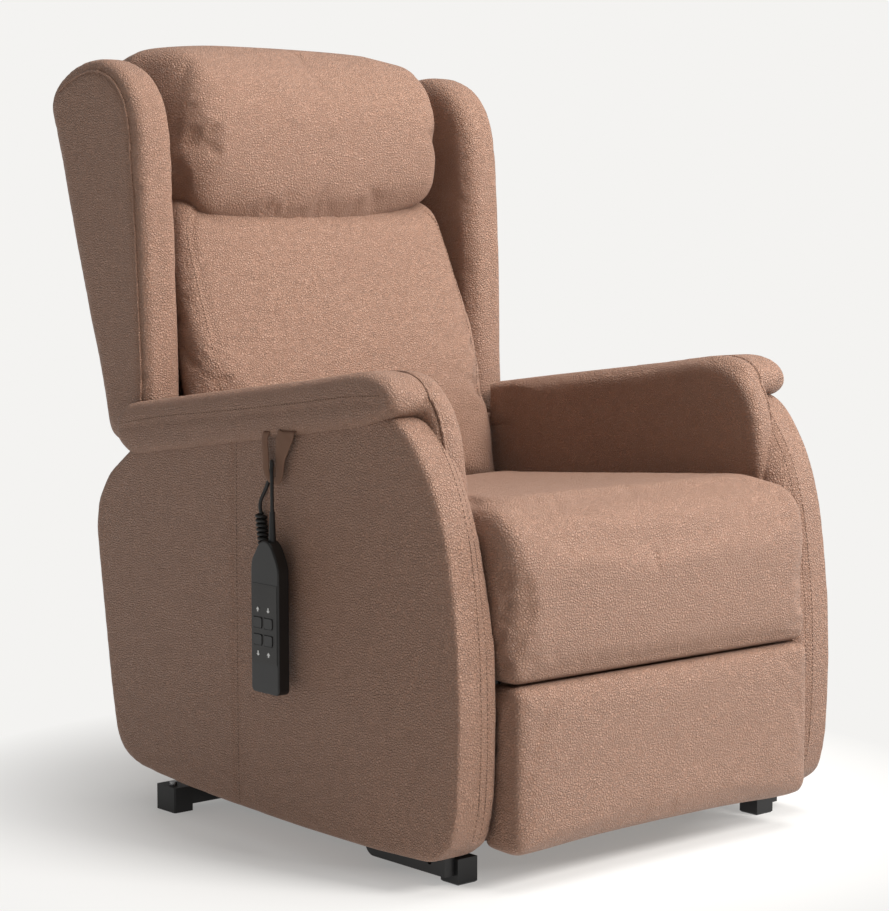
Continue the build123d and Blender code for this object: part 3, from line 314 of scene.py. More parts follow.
def new_object(name, bm):
    """Mesh object from a bmesh."""
    mesh = bpy.data.meshes.new(name)
    bm.to_mesh(mesh)
    bm.free()
    obj = bpy.data.objects.new(name, mesh)
    SCENE.collection.objects.link(obj)
    return obj


def apply_all(obj):
    """Bakes the object's modifiers into its mesh."""
    mesh = bpy.data.meshes.new_from_object(obj.evaluated_get(bpy.context.evaluated_depsgraph_get()))
    obj.modifiers.clear()
    obj.data = mesh


def remesh(obj, voxel=VOXEL, smooth=4):
    """Even skin over the object's shapes, joined where they overlap."""
    skin = obj.modifiers.new("skin", "REMESH")
    skin.mode = "VOXEL"
    skin.voxel_size = voxel
    soft = obj.modifiers.new("soft", "SMOOTH")
    soft.factor = 0.5
    soft.iterations = smooth
    bpy.context.view_layer.update()
    apply_all(obj)
    return obj


def grow(obj, amount):
    """Moves the skin outward, in millimetres, to make up for what the remesh rounds away."""
    set_coords(obj, coords(obj) + normals(obj) * amount / 1000)
    return obj


def coords(obj):
    """The mesh's points as an array."""
    co = np.empty(len(obj.data.vertices) * 3, np.float64)
    obj.data.vertices.foreach_get("co", co)
    return co.reshape(-1, 3)


def set_coords(obj, co):
    """Writes an array back to the mesh's points."""
    obj.data.vertices.foreach_set("co", np.ascontiguousarray(co, np.float64).ravel())
    obj.data.update()


FAR = 1e9


def near_line(co, line):
    """Each point's distance to the nearest point of a line of points."""
    spacing = 0.003
    batch = 64
    samples = []
    for a, b in zip(line, line[1:]):
        steps = max(1, int((b - a).length / spacing))
        samples.extend(a.lerp(b, k / steps) for k in range(steps))
    samples.append(line[-1])
    grid = np.array([tuple(s) for s in samples])
    best = np.full(len(co), FAR)
    for start in range(0, len(grid), batch):
        block = grid[start:start + batch]
        dist = np.linalg.norm(co[:, None, :] - block[None, :, :], axis=2).min(1)
        best = np.minimum(best, dist)
    return best


def normals(obj):
    """Point normals as an array."""
    out = np.empty(len(obj.data.vertices) * 3, np.float32)
    obj.data.vertex_normals.foreach_get("vector", out)
    return out.reshape(-1, 3).astype(np.float64)


def groove(obj, line, width, depth):
    """Presses a sewn channel into the skin along a line."""
    co = coords(obj)
    low = np.min([tuple(p) for p in line], axis=0) - 4 * width
    high = np.max([tuple(p) for p in line], axis=0) + 4 * width
    inside = np.all((co > low) & (co < high), axis=1)
    if not inside.any():
        return
    push = np.zeros(len(co))
    push[inside] = depth * np.exp(-(near_line(co[inside], line) / width) ** 2)
    set_coords(obj, co - normals(obj) * push[:, None])


def hold(obj, lines, width):
    """Vertex group that keeps the sewn lines from swelling."""
    group = obj.vertex_groups.new(name="sewn")
    co = coords(obj)
    near = np.full(len(co), FAR)
    for line in lines:
        near = np.minimum(near, near_line(co, line))
    for index in np.nonzero(near < width)[0]:
        group.add([int(index)], 1.0, "REPLACE")


SWELL = []
SWELL_FRAMES = 20


def swell(obj, cap, pressure=4.0, spare=0.0, half_width=None):
    """Marks a pad to be blown up by the cloth simulation, moving no point by more than cap."""
    SWELL.append((obj, cap, pressure, spare, half_width))


def simulate():
    """Runs every marked pad's cloth at once, then keeps the swollen shapes."""
    before = []
    for obj, cap, pressure, spare, half_width in SWELL:
        cloth = obj.modifiers.new("cloth", "CLOTH")
        cloth.settings.use_pressure = True
        cloth.settings.uniform_pressure_force = pressure
        cloth.settings.effector_weights.gravity = 0.0
        cloth.settings.quality = 5
        cloth.settings.mass = 0.3
        cloth.settings.tension_stiffness = 18
        cloth.settings.compression_stiffness = 18
        cloth.settings.shear_stiffness = 8
        cloth.settings.bending_stiffness = 1.2
        cloth.settings.shrink_min = -spare
        cloth.collision_settings.use_collision = False
        cloth.point_cache.frame_start = 1
        cloth.point_cache.frame_end = SWELL_FRAMES
        if obj.vertex_groups.get("sewn"):
            cloth.settings.vertex_group_mass = "sewn"
        before.append(coords(obj))
    for number in range(1, SWELL_FRAMES + 1):
        SCENE.frame_set(number)
    graph = bpy.context.evaluated_depsgraph_get()
    shapes = [coords(obj.evaluated_get(graph)) for obj, *_ in SWELL]
    for (obj, cap, _, _, half_width), old, new in zip(SWELL, before, shapes):
        obj.modifiers.clear()
        move = new - old
        size = np.linalg.norm(move, axis=1, keepdims=True)
        limit = cap / 1000
        move *= np.where(size > 1e-9, limit * np.tanh(size / limit) / np.maximum(size, 1e-9), 0)
        co = old + move
        if half_width:
            reach = half_width / 1000
            co[:, 0] = CENTRE_X + np.clip(co[:, 0] - CENTRE_X, -reach, reach)
        set_coords(obj, co)
    SCENE.frame_set(1)


def finish_soft(obj, body, nodes):
    """Last touches of a padded piece: smooth skin, leather, body and what it stands for."""
    obj.data.polygons.foreach_set("use_smooth", [True] * len(obj.data.polygons))
    more = obj.modifiers.new("fine", "SUBSURF")
    more.levels = more.render_levels = 1
    obj.data.materials.clear()
    obj.data.materials.append(LEATHER)
    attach(obj, body)
    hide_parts(*nodes)


def mirrored(obj, name):
    """A copy on the other side of the centre plane."""
    copy = bpy.data.objects.new(name, obj.data.copy())
    SCENE.collection.objects.link(copy)
    co = coords(copy)
    co[:, 0] = 2 * CENTRE_X - co[:, 0]
    set_coords(copy, co)
    copy.data.flip_normals()
    return copy


def surface(obj):
    """Search tree of the piece's skin."""
    return BVHTree.FromObject(obj, bpy.context.evaluated_depsgraph_get())


def laid(tree, line, step, lift):
    """The line walked in even steps and dropped onto the skin, with the skin's normal there."""
    out = []
    for a, b in zip(line, line[1:]):
        steps = max(1, round((b - a).length / step))
        for k in range(steps):
            spot, normal, _, _ = tree.find_nearest(a.lerp(b, k / steps))
            out.append((spot + normal * lift, normal))
    spot, normal, _, _ = tree.find_nearest(line[-1])
    out.append((spot + normal * lift, normal))
    return out


def nurbs(curve, points):
    """Adds a smooth open line through a route of control points."""
    spline = curve.splines.new("NURBS")
    spline.points.add(len(points) - 1)
    for point, spot in zip(spline.points, points):
        point.co = (*spot, 1)
    spline.order_u = 3
    spline.use_endpoint_u = True


def mirror_x(spot):
    """The same place on the other side of the centre plane."""
    return Vector((2 * CENTRE_X - spot.x, spot.y, spot.z))


def piping(name, tree, line, radius, body, lift):
    """A sewn-in cord of leather along a line on the skin, and its twin on the other side."""
    spots = [spot for spot, _ in laid(tree, line, 0.006, lift)]
    curve = bpy.data.curves.new(name, "CURVE")
    curve.dimensions = "3D"
    curve.bevel_depth = radius
    curve.bevel_resolution = 3
    curve.use_fill_caps = True
    nurbs(curve, spots)
    nurbs(curve, [mirror_x(spot) for spot in spots])
    obj = bpy.data.objects.new(name, curve)
    SCENE.collection.objects.link(obj)
    obj.data.materials.append(LEATHER)
    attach(obj, body)
    return obj


STITCH_PITCH = 0.0055
STITCH_LENGTH = 0.0038
STITCH_RADIUS = 0.0006
STITCH_RINGS = ((-0.5, 0.35), (-0.3, 1.0), (0.3, 1.0), (0.5, 0.35))


def stitches(name, tree, line, body):
    """A row of thread stitches, each a short rounded bar lying on the skin, and its twin row."""
    spots = laid(tree, line, STITCH_PITCH, 0.0002)
    bm = bmesh.new()
    for (a, normal), (b, _) in zip(spots, spots[1:]):
        along = b - a
        if along.length < STITCH_PITCH * 0.4:
            continue
        along.normalize()
        across = normal.cross(along).normalized()
        middle = (a + b) / 2
        rings = []
        for t, r in STITCH_RINGS:
            centre = middle + along * (t * STITCH_LENGTH)
            rings.append([bm.verts.new(centre + across * (STITCH_RADIUS * r * math.cos(w))
                                       + normal * (STITCH_RADIUS * r * math.sin(w)))
                          for w in (0.0, math.pi / 3, 2 * math.pi / 3, math.pi)])
        for low, high in zip(rings, rings[1:]):
            for i in range(3):
                bm.faces.new((low[i], low[i + 1], high[i + 1], high[i]))
    twin = bmesh.ops.duplicate(bm, geom=bm.verts[:] + bm.edges[:] + bm.faces[:])
    for v in twin["geom"]:
        if isinstance(v, bmesh.types.BMVert):
            v.co.x = 2 * CENTRE_X - v.co.x
    obj = new_object(name, bm)
    obj.data.polygons.foreach_set("use_smooth", [True] * len(obj.data.polygons))
    obj.data.materials.append(THREAD)
    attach(obj, body)
    return obj


# ================================================================== camera, light and floor
CAMERA_SPOT = (-2173.1, -2479.4, 789.1)
CAMERA_DOWN, CAMERA_TURN = 5.17, 40.92
LENS_LENGTH = 93.9

# name, place, target, side, power, colour
LIGHTS = [
    ("key", (1.2, -3.5, 3.1), (0, -0.1, 0.6), 1.4, 200.0, (1.0, 0.985, 0.96)),
    ("top", (0.6, -1.0, 3.4), (0, 0, 0.5), 1.8, 90.0, (1.0, 1.0, 1.0)),
    ("right", (3.4, -1.6, 1.4), (0, 0, 0.5), 1.2, 46.0, (1.0, 1.0, 1.0)),
]
FLOOR_RADIUS = 24.0
BACKDROP = srgb(244, 243, 241)
ROOM_STRENGTH = 0.26


def camera():
    """Camera at the chair's front right corner, a little above seat height."""
    lens = bpy.data.cameras.new("camera")
    lens.lens = LENS_LENGTH
    lens.sensor_width = 36.0
    obj = bpy.data.objects.new("camera", lens)
    obj.location = at(*CAMERA_SPOT)
    obj.rotation_euler = (math.radians(90 - CAMERA_DOWN), 0.0, math.radians(-CAMERA_TURN))
    SCENE.collection.objects.link(obj)
    SCENE.camera = obj


def area_light(name, spot, target, size, power, colour):
    """Square soft light at a point, facing another."""
    data = bpy.data.lights.new(name, "AREA")
    data.shape = "SQUARE"
    data.size = size
    data.energy = power
    data.color = colour
    obj = bpy.data.objects.new(name, data)
    obj.location = spot
    obj.rotation_euler = (Vector(target) - Vector(spot)).to_track_quat("-Z", "Y").to_euler()
    SCENE.collection.objects.link(obj)


def studio():
    """Pale floor that fades into the backdrop's tone, and soft lights."""
    bm = bmesh.new()
    bmesh.ops.create_circle(bm, cap_ends=True, radius=FLOOR_RADIUS, segments=96)
    floor = new_object("floor", bm)
    n = Nodes("floor")
    n.shader.inputs["Base Color"].default_value = srgb(236, 235, 233)
    n.shader.inputs["Roughness"].default_value = 0.85
    n.shader.inputs["Specular IOR Level"].default_value = 0.1
    glow = n.add("ShaderNodeEmission", Color=BACKDROP, Strength=1.0)
    away = n.add("ShaderNodeVectorMath", operation="LENGTH")
    n.join(n.coords(), away.inputs[0])
    share = n.ramp(away.outputs["Value"], 0.38, 0.8, 0.3, 1.0)
    blend = n.add("ShaderNodeMixShader")
    n.join(share, blend.inputs[0])
    n.join(n.shader.outputs[0], blend.inputs[1])
    n.join(glow.outputs[0], blend.inputs[2])
    output = n.tree.nodes["Material Output"]
    n.join(blend.outputs[0], output.inputs["Surface"])
    floor.data.materials.append(n.material)

    world = bpy.data.worlds.new("studio")
    world.use_nodes = True
    tree = world.node_tree
    back = tree.nodes["Background"]
    back.inputs["Color"].default_value = BACKDROP
    back.inputs["Strength"].default_value = 1.0
    room = tree.nodes.new("ShaderNodeBackground")
    room.inputs["Color"].default_value = (1.0, 0.98, 0.96, 1.0)
    room.inputs["Strength"].default_value = ROOM_STRENGTH
    seen = tree.nodes.new("ShaderNodeLightPath")
    pick = tree.nodes.new("ShaderNodeMixShader")
    tree.links.new(seen.outputs["Is Camera Ray"], pick.inputs[0])
    tree.links.new(room.outputs[0], pick.inputs[1])
    tree.links.new(back.outputs[0], pick.inputs[2])
    tree.links.new(pick.outputs[0], tree.nodes["World Output"].inputs["Surface"])
    SCENE.world = world
    SCENE.view_settings.view_transform = "Standard"
    for light in LIGHTS:
        area_light(*light)


# ================================================================== upholstery
PANEL_OUTLINE = [
    (283, 506), (158, 523), (-34, 549), (-200, 573), (-256, 580), (-288, 570), (-311, 548), (-338, 508),
    (-355, 470), (-368, 425), (-377, 370), (-385, 300), (-388, 225), (-387, 163), (-383, 105),
    (-372, 62), (-342, 40), (-234, 37), (-92, 38), (57, 42), (166, 47), (240, 53), (284, 58),
    (316, 71), (334, 95), (348, 164), (362, 254), (375, 340), (381, 385), (375, 425), (347, 464),
]
CORE_REAR = 236
PAD_TOP = [
    (319, 516), (314, 547), (294, 562), (113, 585), (-105, 611), (-206, 625), (-240, 628),
    (-272, 621), (-290, 604), (-288, 584), (-264, 574), (-219, 562), (-34, 536), (283, 494),
]
PAD_NOSE = [
    (-120, 609), (-206, 622), (-248, 621), (-280, 608), (-302, 584), (-314, 552), (-321, 512),
    (-327, 474), (-310, 460), (-290, 470), (-246, 520), (-120, 560),
]
PAD_FLAP = [
    (-314, 428), (-326, 474), (-320, 512), (-313, 552), (-298, 584), (-272, 604), (-206, 612),
    (-105, 600), (113, 573), (184, 562), (184, 424), (0, 436), (-200, 450),
]


def arm_body(side, name):
    """The arm's upholstered side and front, one skin over the padding and the outer panel."""
    bm = bmesh.new()
    outline = rounded(PANEL_OUTLINE, 14, 3)
    front = [(CORE_REAR, 509), *[p for p in PANEL_OUTLINE if p[0] < CORE_REAR], (CORE_REAR, 60)]
    slab_into(bm, rounded(front, 12, 3), side * ARM_INNER, side * (ARM_OUTER - 6), 6)
    slab_into(bm, outline, side * PANEL_INNER, side * ARM_OUTER, *((2, 8) if side > 0 else (8, 2)))
    obj = grow(remesh(new_object(name, bm), 0.0045, 3), 1.5)
    co = coords(obj)
    reach = np.abs(co[:, 0] - CENTRE_X) * 1000
    y = (co[:, 1] - CENTRE_Y) * 1000
    z = co[:, 2] * 1000
    # the side swells softly towards its middle and the front edge rolls in
    fade = np.clip(1 - ((y + 10) / 370) ** 4, 0, 1) * np.clip(1 - ((z - 300) / 262) ** 4, 0, 1)
    out = np.clip((reach - 340) / 10, 0, 1) * fade * 2.0
    roll = np.clip((reach - 300) / 50, 0, 1) ** 2 * np.clip((-y - 170) / 210, 0, 1) ** 2
    co[:, 0] += side * (out - 11.0 * roll * np.clip((reach - 320) / 30, 0, 1)) / 1000
    # the front border rolls back towards the seat, most at its top
    inward = np.clip((308 - reach) / 36, 0, 1) ** 2 * np.clip((-y - 250) / 60, 0, 1)
    co[:, 1] += inward * np.interp(z, [300, 400, 500], [4.0, 14.0, 24.0]) / 1000
    set_coords(obj, co)
    return obj


def arm_pad(side, name):
    """The pad on top of an arm, with the inner roll that turns down the arm's front."""
    bm = bmesh.new()
    slab_into(bm, rounded(PAD_TOP, 16), side * (PAD_IN + 6), side * PAD_OUT, 12)
    slab_into(bm, rounded(PAD_NOSE, 14), side * PAD_IN, side * (PAD_IN + 36), 12)
    slab_into(bm, rounded(PAD_FLAP, 8, 3), side * PAD_IN, side * (PAD_IN + 12), 2)
    obj = grow(remesh(new_object(name, bm), 0.005, 5), 3.0)
    trim_pad(obj, side)
    return obj


# how near to the centre plane the pad may reach, by its place from front to rear
PAD_REACH_Y = [110, 184, 236, 246]
PAD_REACH = [262.0, 270.5, 270.5, 338.0]


def trim_pad(obj, side):
    """Narrows the pad's rear end so that it passes outside the wing and the back cushion."""
    co = coords(obj)
    reach = (co[:, 0] - CENTRE_X) * side * 1000
    y = (co[:, 1] - CENTRE_Y) * 1000
    reach = np.maximum(reach, np.interp(y, PAD_REACH_Y, PAD_REACH))
    co[:, 0] = CENTRE_X + side * reach / 1000
    set_coords(obj, co)


def seat():
    """Seat cushion with its thick rolled front."""
    shape = [
        (-350, 256), (-406, 255), (-410, 280), (-410, 330), (-409, 400), (-402, 440), (-378, 463),
        (-338, 469), (-200, 461), (186, 434), (186, 280), (-350, 280),
    ]
    bm = bmesh.new()
    slab_into(bm, rounded(shape, 12), -SEAT_HALF - 2, SEAT_HALF + 2, 13)
    obj = grow(remesh(new_object("seat_pad", bm)), 1.5)
    bottom = [[at(x, -404, 254) for x in (-SEAT_HALF, SEAT_HALF)]]
    bottom += [[at(s * SEAT_HALF, -404, 254), at(s * SEAT_HALF, -340, 256)] for s in (-1, 1)]
    hold(obj, bottom, 0.016)
    swell(obj, 6, 4.0, 0.008, ARM_INNER - 1)
    return obj


def footrest_pad():
    """Pad of the footrest, hanging under the seat's front."""
    shape = [(-415, 60), (-415, 250), (-347, 251), (-347, 45), (-405, 45)]
    bm = bmesh.new()
    slab_into(bm, rounded(shape, 11), -SEAT_HALF - 1, SEAT_HALF + 1, 11)
    obj = grow(remesh(new_object("footrest_pad", bm)), 1.5)
    top = [[at(x, -407, 250) for x in (-SEAT_HALF, SEAT_HALF)]]
    top += [[at(s * SEAT_HALF, -412, z) for z in (60, 246)] for s in (-1, 1)]
    hold(obj, top, 0.014)
    swell(obj, 5, 4.0, 0.008, ARM_INNER - 1)
    return obj


def back_pad():
    """Lower back cushion, full and long, between the wings."""
    shape = [
        (199, 414), (203, 450), (211, 520), (234, 615), (268, 705), (300, 790), (322, 838), (352, 850),
        (rear_y(850) - 50, 850), (rear_y(441) - 50, 441), (rear_y(441) - 52, 414),
    ]
    bm = bmesh.new()
    slab_into(bm, rounded(shape, 26), -BACK_HALF + 6, BACK_HALF - 6, 24)
    obj = grow(remesh(new_object("back_pad", bm)), 2.0)
    co = coords(obj)
    # the cushion is narrower at its top
    taper = np.interp(co[:, 2], [0.44, 0.5, 0.66, 0.85], [1.012, 1.01, 0.985, 0.915])
    co[:, 0] = CENTRE_X + (co[:, 0] - CENTRE_X) * taper
    set_coords(obj, co)
    swell(obj, 13, 4.0, 0.006, BACK_HALF + 2)
    return obj


def head_pad():
    """Head cushion that overhangs the back cushion and rolls over the top."""
    shape = [
        (345, 838), (312, 836), (298, 858), (293, 912), (297, 978), (316, 1034), (354, 1063),
        (425, 1064), (486, 1050), (rear_y(1030) - 8, 1026), (rear_y(845) - 50, 838),
    ]
    bm = bmesh.new()
    slab_into(bm, rounded(shape, 24), -HEAD_HALF, HEAD_HALF, 26)
    obj = grow(remesh(new_object("head_pad", bm)), 2.0)
    co = coords(obj)
    along = (co[:, 0] - CENTRE_X) / 0.23
    across = np.abs(along)
    # the lower edge sags in the middle, and the rear half spreads to the wings
    low = np.clip((0.95 - co[:, 2]) / 0.1, 0, 1)
    co[:, 2] += low * (0.044 * across**2 + 0.012 * along - 0.037)
    # the top corners draw in
    high = np.clip((co[:, 2] - 0.95) / 0.11, 0, 1) ** 2
    share = np.where(along > 0, 1.0, 0.3)
    co[:, 2] -= share * high * 0.012 * np.clip(across - 0.55, 0, 1) / 0.45
    co[:, 0] -= share * np.sign(along) * high * np.clip(across - 0.5, 0, 1) * 0.02
    spread = np.clip((co[:, 1] - CENTRE_Y - 0.335) / 0.09, 0, 1)
    co[:, 0] = CENTRE_X + (co[:, 0] - CENTRE_X) * (1 + 0.145 * spread)
    set_coords(obj, co)
    swell(obj, 10, 4.0, 0.004, BACK_HALF + 4)
    return obj


def inner_back():
    """Covered panel behind the cushions, from wing to wing, and the skirts under the wings."""
    bm = bmesh.new()
    low, high, front, back = 443, 1030, 54, 40
    shape = [(rear_y(low) - front, low), (rear_y(low) - back, low), (rear_y(high) - back, high),
             (rear_y(high) - front, high)]
    slab_into(bm, rounded(shape, 4), -BACK_HALF - 4, BACK_HALF + 4, 3)
    skirt = [(232, 446), (rear_y(446) - 2, 446), (rear_y(540) - 2, 540), (262, 540), (240, 490)]
    sill = [(262, 490), (262, 522), (344, 522), (344, 490)]
    for side in (-1, 1):
        slab_into(bm, rounded(skirt, 8), side * (BACK_HALF - 6), side * (BACK_HALF + 3), 2)
        slab_into(bm, rounded(sill, 4), side * (BACK_HALF - 6), side * (WING_OUTER - 10), 2)
    return remesh(new_object("inner_back_skin", bm), 0.0045, 2)


WING_OUTLINE = [
    (268, 508), (268, 578), (270, 667), (273, 777), (280, 900), (286, 950), (301, 992), (334, 1027),
    (384, 1045), (429, 1043), (472, 1032), (503, 1013), (518, 990), (513, 962), (485, 872),
    (450, 759), (411, 643), (368, 508),
]


def wing(side, name):
    """Wing: flat outer face, soft rounded front border and a full inner face."""
    bm = bmesh.new()
    slab_into(bm, rounded(WING_OUTLINE, 20, 3), side * (WING_INNER + 2), side * WING_OUTER,
              *((17, 7) if side > 0 else (7, 17)))
    obj = grow(remesh(new_object(name, bm)), 2.5)
    swell(obj, 4, 4.0, 0.004)
    return obj


def rear_cover():
    """Back panel, a thin padded board from wing to wing."""
    low, high, thick = 331, 1036, 11
    shape = [(rear_y(low) - thick, low), (rear_y(low), low), (rear_y(high), high),
             (rear_y(high + 2) - thick, high + 2)]
    bm = bmesh.new()
    slab_into(bm, rounded(shape, 5), -WING_INNER + 1, WING_INNER - 1, 4)
    return remesh(new_object("rear_cover_skin", bm), 0.004, 2)


def side_line(points, x):
    """3-D line from (y, z) points at one |x|, on the sitter's right."""
    return [at(-x, y, z) for y, z in smooth_line(points)]


def flat_line(points):
    """3-D smooth line through (x, y, z) points."""
    return smooth_line([at(*p) for p in points])


def upholstery():
    """Every soft piece, swollen, seamed and dressed."""
    right_arm = arm_body(-1, "arm_skin_right")
    right_pad = arm_pad(-1, "arm_pad_skin_right")
    swell(right_pad, 4, 3.0, 0.004)
    right_wing = wing(-1, "wing_skin_right")
    seat_piece, foot_piece, back_piece, head_piece = seat(), footrest_pad(), back_pad(), head_pad()
    cover, lining = rear_cover(), inner_back()

    # sewn lines that stay down while the pads swell
    gusset = flat_line([(-228, 214, 450), (-232, 226, 560), (-236, 262, 690), (-232, 308, 800),
                        (-214, 318, 832)])
    gusset_left = [mirror_x(p) for p in gusset]
    hold(back_piece, [gusset, gusset_left], 0.004)
    simulate()

    for line in (gusset, gusset_left):
        groove(back_piece, line, 0.006, 0.003)
    trim_pad(right_pad, -1)

    # arm: vertical side seam, two rows of stitching down the front
    side_seam = side_line([(42, 536), (42, 400), (42, 250), (42, 120), (42, 46)], ARM_OUTER + 2)
    groove(right_arm, side_seam, 0.0045, 0.0016)
    front_edge = [(-304, 556), (-340, 508), (-357, 470), (-370, 424), (-379, 370), (-387, 300),
                  (-391, 225), (-390, 160), (-386, 104), (-376, 62)]
    front_rows = [side_line(front_edge, x) for x in (291, 303)]
    groove(right_arm, front_rows[0], 0.005, 0.0018)
    # pad: seam round its side and along its inner roll
    pad_side = side_line([(312, 528), (200, 545), (60, 560), (-80, 576), (-200, 591), (-268, 596)],
                         PAD_OUT + 4)
    groove(right_pad, pad_side, 0.006, 0.0022)
    roll_seam = flat_line([(-296, -60, 612), (-298, -150, 622), (-300, -215, 630), (-301, -256, 632),
                           (-301, -290, 614), (-301, -310, 584), (-301, -324, 540),
                           (-301, -331, 490)])
    groove(right_pad, roll_seam, 0.006, 0.003)
    # wing: piping line between the outer face and the front border
    wing_front = [(286, 512), (286, 600), (290, 700), (296, 800), (304, 900), (312, 958),
                  (330, 994), (360, 1017), (398, 1027), (446, 1021), (488, 1004)]
    wing_seam = side_line(wing_front, WING_OUTER + 4)
    groove(right_wing, wing_seam, 0.005, 0.002)

    skins = {"arm": right_arm, "pad": right_pad, "wing": right_wing}
    trees = {key: surface(obj) for key, obj in skins.items()}
    back_tree = surface(back_piece)
    stitches("arm_side_stitches", trees["arm"],
             side_line([(36, 536), (36, 300), (36, 46)], ARM_OUTER + 2), "carriage")
    for i, row in enumerate(front_rows):
        stitches(f"arm_front_stitches_{i + 1}", trees["arm"], row, "carriage")
    piping("pad_piping", trees["pad"], roll_seam, 0.0022, "carriage", 0.0002)
    stitches("pad_side_stitches", trees["pad"],
             [p + Vector((0, 0, 0.006)) for p in pad_side], "carriage")
    piping("wing_piping", trees["wing"], wing_seam, 0.002, "back", 0.0004)
    stitches("back_gusset_stitches", back_tree, [p + Vector((-0.006, 0, 0)) for p in gusset],
             "back")

    left_arm = mirrored(right_arm, "arm_skin_left")
    left_pad = mirrored(right_pad, "arm_pad_skin_left")
    left_wing = mirrored(right_wing, "wing_skin_left")
    for side, arm, pad, ear in (("right", right_arm, right_pad, right_wing),
                                ("left", left_arm, left_pad, left_wing)):
        finish_soft(arm, "carriage", [f"arm_core_{side}", f"side_panel_{side}"])
        finish_soft(pad, "carriage", [f"arm_pad_{side}"])
        finish_soft(ear, "back", [f"wing_{side}"])
    finish_soft(seat_piece, "carriage", ["seat_cushion"])
    finish_soft(foot_piece, "footrest", ["footrest_cushion"])
    finish_soft(back_piece, "back", ["back_cushion"])
    finish_soft(head_piece, "back", ["head_cushion"])
    finish_soft(cover, "back", ["back_rear_cover"])
    finish_soft(lining, "back", ["inner_back_panel"])


# ================================================================== handset, cord and strap
CABLE_UP = [(-375, -71, 446), (-375, -71, 460), (-374.2, -69.9, 474), (-373.4, -68.8, 487)]
HOOK = [(-373, -68, 500.2), (-367.6, -61, 509), (-360, -51, 509), (-354.6, -44, 500.2)]
CABLE_DOWN = [(-354.7, -38.5, 485), (-355.8, -31, 469), (-359, -23.1, 453.9)]
COIL_AXIS = [(-359, -25, 440), (-359, -29.5, 408), (-359, -36, 376), (-359, -45, 345), (-359, -51, 314)]
TAIL = [(-359, -53.3, 302.2), (-353.5, -54.5, 292.8)]
WIRE_R = 0.0024
COIL_MEAN_R = 0.0056
COIL_PITCH = 0.0058
TURN_POINTS = 12
LEAD_IN = 8


def spline_points(points):
    """Points along the smooth NURBS line of a route."""
    curve = bpy.data.curves.new("route", "CURVE")
    curve.dimensions = "3D"
    curve.resolution_u = 24
    nurbs(curve, points)
    probe = bpy.data.objects.new("route", curve)
    mesh = bpy.data.meshes.new_from_object(probe)
    line = [v.co.copy() for v in mesh.vertices]
    bpy.data.objects.remove(probe)
    bpy.data.meshes.remove(mesh)
    return line


def helix(axis_points):
    """Points of a wire wound round a line, tight and even, with its ends drawn in to the line."""
    line = spline_points(axis_points)
    lengths = [0.0]
    for a, b in zip(line, line[1:]):
        lengths.append(lengths[-1] + (b - a).length)
    total = lengths[-1]
    out = []
    count = int(total / COIL_PITCH * TURN_POINTS)
    for i in range(1, count):
        s = total * i / count
        k = max(j for j, v in enumerate(lengths[:-1]) if v <= s)
        share = (s - lengths[k]) / max(lengths[k + 1] - lengths[k], 1e-9)
        centre = line[k].lerp(line[k + 1], share)
        along = (line[k + 1] - line[k]).normalized()
        side = along.cross(Vector((1, 0, 0))).normalized()
        front = side.cross(along).normalized()
        angle = 2 * math.pi * i / TURN_POINTS
        reach = COIL_MEAN_R * min(1.0, i / LEAD_IN, (count - i) / LEAD_IN)
        out.append(centre + side * (reach * math.cos(angle)) + front * (reach * math.sin(angle)))
    return out


def curve_length(obj):
    """Length of a curve object's own line."""
    line = spline_points([p.co[:3] for p in obj.data.splines[0].points])
    return sum((b - a).length for a, b in zip(line, line[1:]))


def cord():
    """The handset's cord: up through the strap, down into the curly part, and in through the panel."""
    lead = [at(*p) for p in [*CABLE_UP, *HOOK, *CABLE_DOWN, COIL_AXIS[0]]]
    winding = helix([at(*p) for p in COIL_AXIS])
    tail = [at(*p) for p in [COIL_AXIS[-1], *TAIL]]
    points = [*lead, *winding, *tail]
    curve = bpy.data.curves.new("handset_cord", "CURVE")
    curve.dimensions = "3D"
    curve.bevel_depth = WIRE_R
    curve.bevel_resolution = 4
    curve.resolution_u = 3
    curve.use_fill_caps = True
    nurbs(curve, points)
    obj = bpy.data.objects.new("handset_cord", curve)
    SCENE.collection.objects.link(obj)
    obj.data.materials.append(RUBBER)
    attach(obj, "carriage")
    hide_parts("handset_cable", "cable_coil", "cable_tail")
    length = curve_length(obj)


STRAP_ROUTE = [
    (-350, -39, 546), (-359, -40, 545), (-361, -38, 536), (-361.4, -40, 515), (-361.4, -41, 497),
    (-361.2, -47, 486), (-361, -60, 483), (-361, -68, 489), (-361, -70, 512), (-361, -76, 532),
    (-359, -82, 547), (-350, -83, 549),
]
STRAP_WIDTHS = [12, 12, 12, 13, 13, 9, 8, 13, 20, 30, 34, 34]
STRAP_STEPS = 5


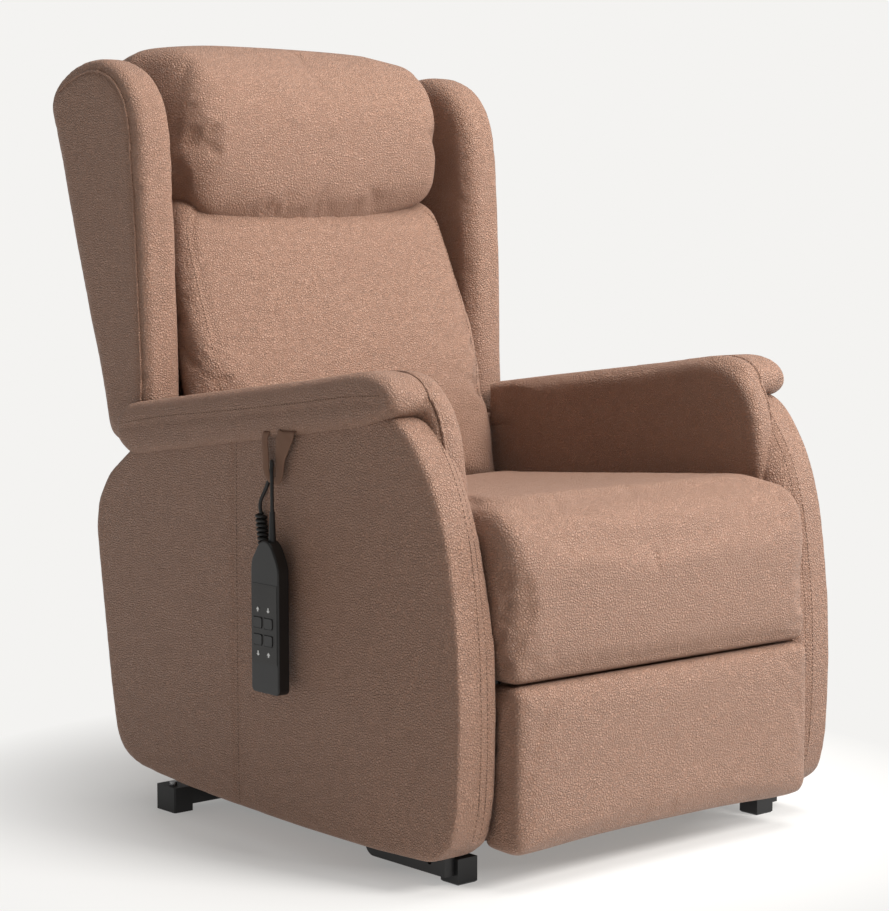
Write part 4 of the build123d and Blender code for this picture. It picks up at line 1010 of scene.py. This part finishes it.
def strap():
    """Fabric strap that comes out from under the arm pad, doubles back and holds the cord."""
    line = smooth_line([at(*p) for p in STRAP_ROUTE], STRAP_STEPS)
    places = np.linspace(0, 1, len(STRAP_WIDTHS))
    spread = np.interp(np.linspace(0, 1, len(line)), places, STRAP_WIDTHS) / 1000
    bm = bmesh.new()
    rows = []
    across_count = 6
    for i, spot in enumerate(line):
        along = (line[min(i + 1, len(line) - 1)] - line[max(i - 1, 0)]).normalized()
        hangs = STRAP_STEPS < i < len(line) - STRAP_STEPS - 1
        face = Vector((-1, 0, 0)) if hangs else Vector((0, 0, 1))
        across = along.cross(face)
        across.x *= 0.15
        across.normalize()
        row = []
        for k in range(across_count + 1):
            t = k / across_count - 0.5
            curl = Vector((-0.0012 * math.cos(math.pi * t), 0, 0))
            row.append(bm.verts.new(spot + across * (t * spread[i]) + curl))
        rows.append(row)
    for low, high in zip(rows, rows[1:]):
        for k in range(across_count):
            bm.faces.new((low[k], low[k + 1], high[k + 1], high[k]))
    area = sum(f.calc_area() for f in bm.faces)
    obj = new_object("strap_loop", bm)
    thick = obj.modifiers.new("thick", "SOLIDIFY")
    thick.thickness = 0.0014
    thick.offset = 0
    fine = obj.modifiers.new("fine", "SUBSURF")
    fine.levels = fine.render_levels = 2
    obj.data.polygons.foreach_set("use_smooth", [True] * len(obj.data.polygons))
    obj.data.materials.append(WEBBING)
    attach(obj, "carriage")
    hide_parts("handset_strap")


HANDSET_FACE = -386.0
PLATE_COLUMNS = [-94.5, -86.0, -68.0, -64.0, -46.0, -41.5]
PLATE_ROWS = [252, 274.5, 289.5, 296.5, 311.5, 354]
BUTTON_CELLS = (1, 3)
ARROWS = ((-55, 321, 1), (-77, 321, -1), (-55, 264, -1), (-77, 264, 1))


def marks():
    """Inset plate round the buttons and a small printed arrow by each one."""
    bm = bmesh.new()
    verts = {}

    def vert(i, j):
        if (i, j) not in verts:
            verts[i, j] = bm.verts.new(at(HANDSET_FACE - 0.1, PLATE_COLUMNS[i], PLATE_ROWS[j]))
        return verts[i, j]

    for i in range(5):
        for j in range(5):
            if i in BUTTON_CELLS and j in BUTTON_CELLS:
                continue
            bm.faces.new((vert(i, j), vert(i, j + 1), vert(i + 1, j + 1), vert(i + 1, j)))
    plate = new_object("handset_inset", bm)
    thick = plate.modifiers.new("thick", "SOLIDIFY")
    thick.thickness = 0.0005
    thick.offset = 1
    plate.data.materials.append(INSET)
    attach(plate, "carriage")

    bm = bmesh.new()
    for y, z, up in ARROWS:
        arrow = [(-3.4, -0.5), (0, 3.2 * up), (3.4, -0.5), (1.2, -0.5), (1.2, -3.2 * up), (-1.2, -3.2 * up),
                 (-1.2, -0.5)]
        bm.faces.new([bm.verts.new(at(HANDSET_FACE - 0.85, y + a, z + b)) for a, b in arrow])
    bmesh.ops.recalc_face_normals(bm, faces=bm.faces[:])
    print_marks = new_object("handset_marks", bm)
    thick = print_marks.modifiers.new("thick", "SOLIDIFY")
    thick.thickness = 0.00025
    print_marks.data.materials.append(PRINT)
    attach(print_marks, "carriage")


camera()
cord()
strap()
marks()
dress_frame()
upholstery()
studio()
